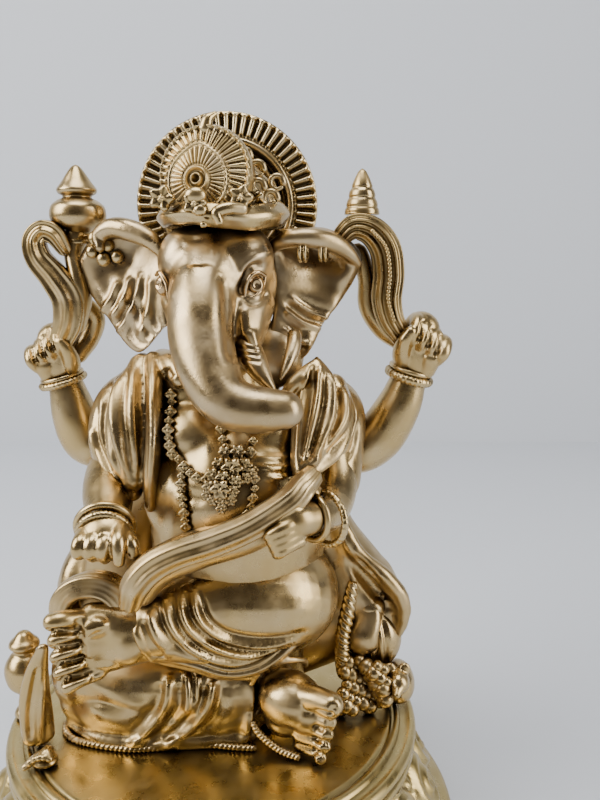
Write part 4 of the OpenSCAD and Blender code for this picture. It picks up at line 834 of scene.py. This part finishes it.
def right_form(across, down):
    """A curled roll at the top corner, a flat outer plane, and bright ridges that run down to the tip."""
    dish = -3.4 * hump(across, 0.45, 0.28) * hump(down, 0.3, 0.25)
    roll = 3.0 * hump(across, 0.9, 0.12) * np.clip(1.3 - 2.6 * down, 0, 1)
    ridges = (0.3 * np.clip((down - 0.35) / 0.2, 0, 1) * np.cos(2 * np.pi * (4.2 * across - 0.9 * down))
              * hump(across, 0.5, 0.34))
    return dish + roll + ridges * (1 - hump(down, 1, 0.1))


left_ear = ear([(14.5, -1, 119.5), (15.5, 0, 113), (15.8, 0, 105), (14.6, -1, 97)],
               [(16, -0.5, 121.4), (21.9, 0, 121.6), (27.5, 2.6, 121.8), (33, 4.6, 119.6), (36.8, 5.4, 115.2),
                (35, 5, 109.4), (31.4, 4.4, 103.8), (28, 3, 99.6), (25.4, 1, 94.6), (22.6, 0, 90.8),
                (18.6, -1, 90), (15.6, -1, 94)], 2.2, left_form)
left_roll = limb([(15.6, -1.4, 117.4, 1.4), (19, -3.4, 118.8, 2.0), (24, -3.6, 119.2, 2.3),
                  (29, -1.6, 118.4, 2.3), (33, 1, 116.2, 1.8), (36, 3, 113.4, 0.9)])
left_ear = carve(knit([left_ear, left_roll], 0.4, 4),
                 [([(19.4, -4, 107), (24.6, -3, 103.6), (30, -1, 101.6)], 0.8, 1.0),
                  ([(18.6, -4, 103.6), (23, -3, 100.2), (27.6, -1, 98.6)], 0.8, 1.0),
                  ([(19, -4, 105.4), (24, -3, 101.8), (29, -1, 100)], 0.6, -0.8),
                  ([(18, -4, 99.4), (21.6, -3, 96), (25, -1, 94.4)], 0.8, 0.9)])
put("left_ear", left_ear, ["left_ear"], worn_gold)
right_ear = ear([(-8, -2.4, 117), (-8.6, -3, 110), (-8, -3.6, 104), (-8.4, -3.4, 99)],
                [(-10.6, -2, 118), (-16.8, 1.4, 121.6), (-22.4, 3.6, 123.6), (-26.4, 4.2, 121.2),
                 (-31, 5, 115.4), (-31.4, 5, 111.4), (-28.8, 4, 106), (-24.2, 2, 100.2), (-20, 0, 94.6),
                 (-16.4, -2, 92.6), (-13, -3.6, 95), (-10.4, -4, 99.4)], 2.2, right_form)
right_roll = limb([(-9.6, -3, 116, 1.6), (-13, -2.4, 119, 2.2), (-17.6, -1.2, 121, 2.6),
                   (-22, 0.4, 121.6, 2.4), (-25.4, 1.6, 119.8, 1.9), (-25, 0.6, 117.2, 1.3)])
right_ear = carve(knit([right_ear, right_roll], 0.4, 4),
                  [([(-14.8, -4, 113), (-16, -4, 107), (-19.4, -3, 100), (-22, -2, 97.6)], 1.0, 1.1),
                   ([(-17.6, -3, 112), (-19.4, -3, 106), (-23, -1, 100.6)], 1.0, 1.1),
                   ([(-20.4, -3, 111), (-23, -2, 105.6), (-25.6, -1, 102.4)], 0.9, 1.0),
                   ([(-16.2, -4, 112), (-17.8, -4, 106), (-21.4, -2, 99.4)], 0.7, -0.9),
                   ([(-12.4, -5, 112), (-13, -5, 104), (-15.6, -4, 96.4)], 1.0, 0.9)])
put("right_ear", right_ear, ["right_ear"], worn_gold)

gems = [(-26.4, 2.2, 119.2, 1.9), (-23.6, 1.8, 117.6, 1.7), (-21.4, 1.6, 115, 1.5), (-24.6, 1.6, 114.4, 1.7),
        (-27.4, 2.4, 116.2, 1.6)]
trims = [ball(g[:3], (g[3], g[3] * 0.8, g[3]), 20, 11) for g in gems]
trims += [hoop((x, y, 116.2), (1, -0.15, 0), 2.0, 0.5, 0, 32, 10) for x,
          y in ((22, -3.2), (23.2, -3.1), (26.8, -1.8), (27.9, -1.5))]
put("ear_ornaments", together(*trims), ["ear_ornaments"], ornament_gold)

# ---------- Crown ----------
# The crown is built up from a domed cap with curls, a rolled band round the brow, a rayed plaque on the front
# and three rosettes with a drop over the brow, glued to the head one over another.

CAP_EDGE = 122.4
cap = knit([ball((4.2, 1, 123), (13.6, 12.6, 14)), ball((6.8, 4, 129), (8, 7, 8.6))], 0.5, 4)
cap = carve(cap,
            [([(9 + 1.6 * k, -12, 134 - 2.4 * k), (11 + 1.6 * k, -10, 131.6 - 2.4 * k),
               (10.4 + 1.6 * k, -10, 129.4 - 2.2 * k)], 0.8, 1.3) for k in range(4)]
            + [([(13.6, -6, 136), (16.4, -5, 131.6), (17.6, -4, 126.6)], 0.8, 1.0),
               ([(12, -8, 135.4), (15, -6, 131), (16.2, -5, 126)], 0.6, -0.9)])
cap = (np.column_stack([cap[0][:, :2], np.maximum(cap[0][:, 2], CAP_EDGE)]), cap[1])
curls = [limb([(x + 1.5 * np.cos(t), y, z + 1.5 * np.sin(t), 0.75 - 0.06 * t)
               for t in np.linspace(0, 5.5, 9)], along=28) for x, y,
         z in ((12.6, -8.6, 130), (15.4, -6.4, 127.8), (12.4, -7.4, 134), (16.6, -2.4, 131.6),
               (9.6, -9.4, 136.4), (-6.4, -7.4, 131))]
put("crown_cap", together(cap, *curls), ["crown_cap"], ornament_gold)

a = np.linspace(0, 2 * np.pi, 160, endpoint=False)[:, None]
b = np.linspace(0, 2 * np.pi, 40, endpoint=False)[None]
sag = -0.5 * np.clip(-np.sin(a), 0, 1) ** 2 + 0.5 * np.cos(3 * a)
tube = 2.7 * (1 + 0.03 * np.cos(2 * b + 10 * a) + 0.12 * np.cos(a) + 0.05 * np.cos(5 * b))
band = np.stack([3.8 + (12.6 + tube * np.cos(b)) * np.cos(a), 0.4 + (13 + tube * np.cos(b)) * np.sin(a),
                 124.2 + sag + 0.95 * tube * np.sin(b)], -1)
hook = limb([(9.4, -13.6, 125, 1.4), (6.6, -15, 125, 1.4), (4.2, -15.8, 124, 1.3), (4.8, -16, 122.2, 0.9)],
            along=24)
put("brow_band", together(looped(band), hook), ["brow_band"], ornament_gold)


def disc(centre, turn, tilt, radius, thick, height, rings=80, around=432):
    """A round plate seen from the front: height(r, angle) over its face, a rounded rim and a flat back.

    It is worked out facing -Y, then leaned back by tilt and swung by turn, in degrees."""
    a = np.linspace(0, 2 * np.pi, around, endpoint=False)[None]
    r = np.concatenate([np.linspace(0.02, 1, rings), [1.0, 0.98, 0.6, 0.02]])[:, None] * radius
    back = np.concatenate([np.zeros(rings), [0.35, 1, 1, 1]])[:, None]
    z = height(np.minimum(r, radius), a) * (1 - back) + -thick * back
    grid = np.stack([r * np.cos(a), -z + 0 * a, r * np.sin(a)], -1)[:, ::-1]
    points, faces = closed(grid)
    c, s = np.cos(np.radians(tilt)), np.sin(np.radians(tilt))
    points = points @ np.array([[1, 0, 0], [0, c, -s], [0, s, c]]).T
    c, s = np.cos(np.radians(turn)), np.sin(np.radians(turn))
    points = points @ np.array([[c, -s, 0], [s, c, 0], [0, 0, 1]]).T
    return points + np.asarray(centre, float), faces


def rays(r, a, first, last, count, depth):
    """A ring of rounded rays between two radii, fading at both ends."""
    inside = np.clip((r - first) / 0.5, 0, 1) * np.clip((last - r) / 0.5, 0, 1)
    return depth * inside * np.abs(np.cos(count / 2 * a)) ** 0.7


def plaque_face(r, a):
    """A domed face with an outer and an inner ring of rays, a pointed arch between them, and a coiled heart."""
    x, z = r * np.cos(a) + 1.2, r * np.sin(a) + 1.6
    heart = np.hypot(x, z)
    b = np.arctan2(z, x)
    arch = 6.9 + 1.0 * np.exp(-(((b - np.pi / 2) / 0.35) ** 2))
    dome = 2.4 * (1 - (r / 11.5) ** 2)
    outer = rays(r, a, 0, 10.6, 38, 0.75) * np.clip((heart - arch - 0.3) / 0.4, 0, 1)
    inner = rays(heart, b, 3.1, 20, 34, 0.5) * np.clip((arch - heart - 0.4) / 0.3, 0, 1)
    lip = 0.5 * np.exp(-(((heart - arch) / 0.35) ** 2)) + 0.7 * np.exp(-(((r - 10.2) / 0.45) ** 2))
    coil = (1.0 * np.exp(-(((heart - 2.5) / 0.4) ** 2)) + 1.0 * np.exp(-(((heart - 1.1) / 0.4) ** 2))
            - 0.5 * np.exp(-((heart / 0.5) ** 2)))
    return dome + outer + inner + lip + coil


plaque = disc((1.4, -9.5, 132.6), -14, -8, 10.6, 2.6, plaque_face)
crest = limb([(1.4, -8.4, 142.4, 1.7), (2, -8.6, 144.2, 1.2), (3.4, -8, 145.4, 0.6)], along=20)
put("crown_plaque", together(plaque, crest), ["crown_plaque"], ornament_gold)

rosettes = [strewn(blossom(5, around=40), [p], [s]) for p,
            s in (((-7.8, -12.6, 127.2), 2.6), ((9.2, -12.8, 127.4), 2.5), ((-0.4, -15.4, 126), 2.4))]
rosettes += [ball((-0.2, -15.8, 127.6), (2.4, 1.5, 1.8), 32, 17),
             ball((0.8, -16.2, 124.6), (1.5, 1.0, 1.3), 24, 13),
             ball((1.4, -15.8, 121.6), (0.8, 0.6, 0.7), 16, 9)]
put("crown_rosettes", together(*rosettes), ["crown_rosettes"], ornament_gold)

# ---------- Halo ----------
# The halo is a flat casting dowelled behind the crown. It has a fluted border, then a smooth raised ring,
# a deep slot, a second ring and a wider slot round the middle.

HALO_RADIUS, HALO_THICK, FLUTES = 22.8, 3.2, 60


def halo_face(r, a):
    """Sixty rounded flutes in the border, and rings and slots cut inside it."""
    border = np.clip((r - 17.2) / 0.6, 0, 1) * np.clip((22.6 - r) / 0.5, 0, 1)
    flutes = border * (1.5 * np.abs(np.cos(FLUTES / 2 * a)) ** 0.8 - 0.5)
    rings = (1.8 * np.exp(-(((r - 16) / 1.0) ** 4)) + 0.9 * np.exp(-(((r - 13) / 0.7) ** 4))
             + 0.8 * np.exp(-(((r - 22.6) / 0.5) ** 2)))
    slots = -2.4 * np.exp(-(((r - 14.4) / 0.75) ** 4)) - 2.6 * np.exp(-(((r - 10.8) / 1.6) ** 4))
    return flutes + rings + slots


halo_gold = lacquer("halo_gold", (0.62, 0.48, 0.25), (0.045, 0.022, 0.008), rough=0.25, wear=0.5, reach=3.0)
put("halo", disc((3.5, 16.9, 127.8), 0, 0, HALO_RADIUS, HALO_THICK, halo_face, 110, 720), ["halo"],
    halo_gold)

# ---------- Scrolls and finials ----------
# Each rear hand holds a ribbon that rises, hooks over and carries a turned finial on a dowel. The ribbons
# are long castings with raised edges. The right finial is a lidded pot and the left one a stepped cone.


def ribbon_profile(ridges):
    """A flat oval whose front is raised into long ridges."""
    a = np.linspace(0, 2 * np.pi, 64, endpoint=False)
    out = np.sign(np.sin(a)) * np.abs(np.sin(a)) ** 0.6
    ridge = 0.17 * np.cos(np.pi * ridges * np.cos(a)) * (np.sin(a) > 0) * np.sin(a) ** 0.25
    return np.stack([np.cos(a), out * 0.8 + np.nan_to_num(ridge)], -1)


right_ribbon = carried(ribbon_profile(2),
                       [(-36.6, 4.4, 94.4, 2.8, 2.6), (-34.4, 3.8, 99.5, 3.6, 2.8), (-34.2, 3.8, 105, 3.9, 3),
                        (-37.2, 3.8, 110.2, 3.5, 3), (-40.6, 3.8, 114.6, 3.1, 2.9),
                        (-41.4, 3.8, 118.6, 2.8, 2.8), (-39.4, 3.8, 121, 2.6, 2.8),
                        (-36.6, 3.8, 120.2, 2.5, 2.6), (-34.6, 4.2, 117, 1.8, 2.2)], along=90)
stem = limb([(-32.6, 7.5, 120, 3), (-33.2, 6.5, 115.4, 2.2, 2.6), (-31.8, 5, 110, 2.2, 2.8),
             (-30.8, 5, 105, 2.0, 2.8), (-32.4, 5, 98.6, 2, 2.4)])
shelf = limb([(-33, 9, 104, 2.6), (-30, 11, 100, 2.6), (-31.5, 11, 95, 2.6), (-34, 9, 91, 2.4)])
put("right_scroll", together(right_ribbon, stem, shelf), ["right_scroll"], figure_gold)

left_ribbon = carried(ribbon_profile(4),
                      [(46.6, 5, 96, 2.6, 2.4), (44, 4.2, 100, 3.3, 2.7), (42.8, 4, 105, 3.7, 3),
                       (43.2, 4, 111, 3.8, 3), (42.2, 4, 117, 3.8, 3), (39, 4, 121, 3.5, 3),
                       (34.8, 4, 122, 3, 2.9), (31.8, 4.4, 119.6, 2.3, 2.6), (31, 4.8, 117, 1.6, 2)],
                      along=110)
path = smooth_line([(44.4, 1.7, 100, 0), (42.9, 1.2, 105, 0), (43.2, 1.1, 111, 0), (42.2, 1.1, 117, 0),
                    (38.9, 1.1, 120.9, 0)], 26)[:, :3]
beads = strewn(ball((0, 0, 0), (1, 1, 1), 10, 7), path, 0.62 + 0 * path[:, 0])
liner = limb([(33, 7, 113, 2), (36, 7, 116.4, 2), (38.2, 7.5, 110, 2.2), (38.8, 8, 103, 2.4),
              (42.4, 8, 97.6, 2.6), (47, 8, 94.5, 2.6)], along=50)
put("left_scroll", together(left_ribbon, beads, liner), ["left_scroll"], figure_gold)


def finial(at, profile, around=64):
    """A turned finial: corners of radius and height are rounded by a spline, then spun round +Z."""
    corners = np.array(profile, float)[::-1]
    line = smooth_line(np.column_stack([corners[:, 0], 0 * corners[:, 0], corners[:, 1]]), 110)
    points, faces = turned(np.stack([np.maximum(line[:, 0], 0.05), line[:, 2]], -1), around)
    return points + np.asarray(at, float), faces


pot = [(0.1, 0), (3.4, 0), (3.8, 0.9), (3.0, 1.9), (2.9, 2.6), (3.6, 3.2), (5.6, 4.4), (6.6, 6), (6.7, 7.6),
       (6.2, 9.2), (4.8, 10.4), (3.5, 11), (3.5, 11.5), (4.4, 12), (4.8, 12.8), (4.4, 13.6), (3.5, 14.8),
       (2.6, 16.2), (1.7, 17.5), (0.9, 18.4), (0.1, 18.8)]
put("right_finial", finial((-32, 8, 118), pot), ["right_finial"], figure_gold)
cone = [(0.1, 0), (3.9, 0), (4.2, 0.6), (4.1, 1.3), (3.8, 1.9), (3.85, 2.4), (3.6, 3.3), (3.2, 4.1),
        (3.25, 4.6), (3.0, 5.6), (2.5, 6.4), (2.5, 6.9), (2.1, 8), (1.5, 9.3), (0.9, 10.3), (0.1, 10.9)]
put("left_finial", finial((36.9, 8, 125), cone), ["left_finial"], figure_gold)

# ---------- Offerings on the base ----------
# Small castings glued round the figure: a pot and a leaf with a shell at its right, and a rope, a sack, sweets
# and the mouse at its left.

jar = [(0.1, 0), (3.1, 0), (3.4, 0.7), (2.8, 1.8), (1.6, 2.8), (1.5, 4.8), (2.4, 6.2), (4.4, 8.4),
       (5.2, 11.4), (5, 13.8), (3.8, 16), (2.9, 17), (2.8, 17.8), (3.4, 18.4), (3.8, 19), (3.5, 19.9),
       (2.6, 20.8), (1.4, 22.2), (0.1, 22.8)]
put("water_pot", finial((-47.6, -4, 0), jar), ["water_pot"], figure_gold)
blade = carve(knit([limb([(-40.4, -17.5, 2.6, 2.2, 3.8), (-40.2, -18.6, 9, 2.2, 3.8),
                          (-39.9, -19.4, 14.5, 2, 3.5), (-38.6, -20.4, 21, 1.6, 2.6),
                          (-36.6, -21.2, 27.4, 0.9, 1.3)], ref=(-1, -0.4, 0))], 0.35, 3),
              [([(-41, -24, 4), (-40.4, -24, 12), (-37.6, -24, 24)], 0.7, -0.7),
               ([(-38.6, -24, 3), (-38, -24, 10), (-36.6, -24, 20)], 0.7, 0.6)])
put("leaf", blade, ["leaf"], figure_gold)
shell = [limb([(-37 + 0.2 * k, -23.4, 1.4 + 0.3 * k, 1.2), (-38.2 + 0.5 * k, -25.4, 2.4 + 0.35 * k, 1.1),
               (-40.4 + 1.15 * k, -27, 1.2 + 0.75 * k * (1.9 - 0.27 * k), 0.8)], along=20) for k in range(6)]
put("shell_rosette", knit(shell + [ball((-36.6, -24.6, 1.4), (3, 2.8, 1.3))], 0.25, 2), ["shell_rosette"],
    figure_gold)
rope = [cord([(35.3, -2, 35, 1.3), (34, -3, 28, 1.8), (32.8, -3, 20.5, 1.9), (32.8, -2.4, 14, 1.9),
              (33.2, -1.8, 9.4, 1.8)], 7, 3, 200, 20),
        cord([(36.4, 0, 23, 1.4), (37, -0.6, 18, 1.5), (36.8, -0.8, 13, 1.4)], 5, 3, 120, 18)]
put("rope_garland", together(*rope), ["rope_garland"], ornament_gold)
sack = carve(knit([ball((41, 4, 17), (7.6, 7, 8.6)), ball((40, 3, 26), (4.2, 4, 3.4))], 0.45, 4),
             [([(38 + 1.8 * k, -4, 25), (36.4 + 2.6 * k, -4, 18), (37 + 2.4 * k, -4, 11)], 0.8, -0.8)
              for k in range(4)])
put("sack", sack, ["sack"], figure_gold)
k = np.arange(34)
heap = np.stack([32.4 + 11.6 * ((k * 0.618) % 1), -5.4 + 1.6 * np.sin(2.3 * k) + 0.06 * k, 2 + 0.36 * k], -1)
put("sweets", strewn(ball((0, 0, 0), (1, 1, 1), 16, 11), heap, 1.9 + 0.45 * np.sin(1.7 * k)), ["sweets"],
    figure_gold)
mouse = [ball((47.6, 2, 5.4), (4.4, 7, 5.2)), ball((46.8, -3.6, 8.6), (3, 3.6, 3)),
         limb([(46.6, -5.6, 8.2, 2), (46, -8, 7.4, 1.0)], along=14),
         ball((44.8, -2.6, 11.4), (1.7, 0.9, 1.8), 20, 11), ball((48.6, -2.6, 11.4), (1.7, 0.9, 1.8), 20, 11),
         limb([(48, 8, 3, 1.1), (45, 11, 2, 0.9), (41, 10, 1.6, 0.7)], along=20)]
put("mouse", knit(mouse, 0.35, 3), ["mouse"], figure_gold)

# ---------- Closing plate, felt and dowels ----------
# The base is closed with a plain resin plate and stands on a felt pad. Steel dowels join the castings. Their
# shapes are plain, so the CAD solids are kept and only get their own finishes.


def plain(name, colour, metal, rough, scale, bumps, tint):
    """A plain finish: one colour mottled by noise, with a fine bump of its own grain."""
    m = bpy.data.materials.new(name)
    m.use_nodes = True
    n, link = m.node_tree.nodes, m.node_tree.links
    shader = n["Principled BSDF"]
    shader.inputs["Metallic"].default_value = metal
    shader.inputs["Roughness"].default_value = rough
    place, cloud, ramp, bump = (n.new("ShaderNode" + k) for k in ("TexCoord", "TexNoise", "ValToRGB", "Bump"))
    cloud.inputs["Scale"].default_value = scale
    cloud.inputs["Detail"].default_value = 6
    bump.inputs["Strength"].default_value = bumps
    bump.inputs["Distance"].default_value = 0.2 * MM
    ramp.color_ramp.elements[0].color = (*tint, 1)
    ramp.color_ramp.elements[1].color = (*colour, 1)
    link.new(place.outputs["Object"], cloud.inputs["Vector"])
    link.new(cloud.outputs["Fac"], ramp.inputs["Fac"])
    link.new(ramp.outputs["Color"], shader.inputs["Base Color"])
    link.new(cloud.outputs["Fac"], bump.inputs["Height"])
    link.new(bump.outputs["Normal"], shader.inputs["Normal"])
    return m


steel = plain("steel", (0.62, 0.62, 0.63), 1, 0.32, 900, 0.15, (0.42, 0.42, 0.43))
finishes = {"closing_plate": plain("bare_resin", (0.62, 0.57, 0.48), 0, 0.55, 180, 0.2, (0.5, 0.45, 0.37)),
            "felt_pad": plain("green_felt", (0.06, 0.16, 0.08), 0, 0.95, 1600, 0.9, (0.03, 0.09, 0.05)),
            "halo_dowels": steel, "neck_dowel": steel, "seat_dowels": steel, "finial_dowels": steel}
for name, finish in finishes.items():
    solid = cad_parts[name]
    solid.data.materials.clear()
    solid.data.materials.append(finish)

# ---------- Floor, wall, light and camera ----------
# The idol stands on a pale table in front of a pale wall, in soft light from large sources at both sides and
# above. The camera stands a hand's length in front, level with the face, and looks down a little.


def sheet(name, corners, colour):
    """A flat backdrop of four corners, with a dull painted finish."""
    mesh = bpy.data.meshes.new(name)
    mesh.from_pydata(corners, [], [(0, 1, 2, 3)])
    thing = bpy.data.objects.new(name, mesh)
    bpy.context.scene.collection.objects.link(thing)
    paint = bpy.data.materials.new(name + "_paint")
    paint.use_nodes = True
    paint.node_tree.nodes["Principled BSDF"].inputs["Base Color"].default_value = (*colour, 1)
    paint.node_tree.nodes["Principled BSDF"].inputs["Roughness"].default_value = 0.9
    mesh.materials.append(paint)


WIDE, BACK = 3.0, 0.42
pale_paint = (0.62, 0.65, 0.70)
sheet("table", [(-WIDE, -WIDE, 0), (WIDE, -WIDE, 0), (WIDE, BACK, 0), (-WIDE, BACK, 0)], pale_paint)
sheet("wall", [(-WIDE, BACK, -0.5), (WIDE, BACK, -0.5), (WIDE, BACK, 2.5), (-WIDE, BACK, 2.5)], pale_paint)


def lamp(name, at, aim, size, power, colour):
    """A rectangular soft light at a place, turned to face another."""
    light = bpy.data.lights.new(name, "AREA")
    light.shape = "RECTANGLE"
    light.size, light.size_y = size
    light.energy = power
    light.color = colour
    thing = bpy.data.objects.new(name, light)
    thing.location = at
    thing.rotation_euler = (Vector(aim) - Vector(at)).to_track_quat("-Z", "Y").to_euler()
    bpy.context.scene.collection.objects.link(thing)


lamp("window", (-0.62, -0.22, 0.5), (0, 0, 0.1), (0.5, 0.6), 8.0, (1, 0.98, 0.95))
lamp("room_side", (0.62, -0.2, 0.3), (0, 0, 0.1), (0.3, 0.6), 3.4, (1, 0.97, 0.92))
lamp("overhead", (0.0, -0.1, 0.85), (0, 0, 0.1), (0.5, 0.4), 4.5, (1, 1, 1))
world = bpy.data.worlds.new("room")
bpy.context.scene.world = world
world.use_nodes = True
world.node_tree.nodes["Background"].inputs["Color"].default_value = (0.20, 0.17, 0.145, 1)
world.node_tree.nodes["Background"].inputs["Strength"].default_value = 0.42

LENS, SENSOR, LOOKS_DOWN = 34, 36, 10.26
ASIDE, AWAY, ABOVE = 0.0219, 0.1805, 0.1135
camera_data = bpy.data.cameras.new("camera")
camera_data.sensor_fit = "VERTICAL"
camera_data.sensor_height = SENSOR
camera_data.lens = LENS
camera = bpy.data.objects.new("camera", camera_data)
camera.location = (floor[0] * MM + ASIDE, floor[1] * MM - AWAY, floor[2] * MM + ABOVE)
camera.rotation_euler = (np.radians(90 - LOOKS_DOWN), 0, 0)
bpy.context.scene.collection.objects.link(camera)
bpy.context.scene.camera = camera
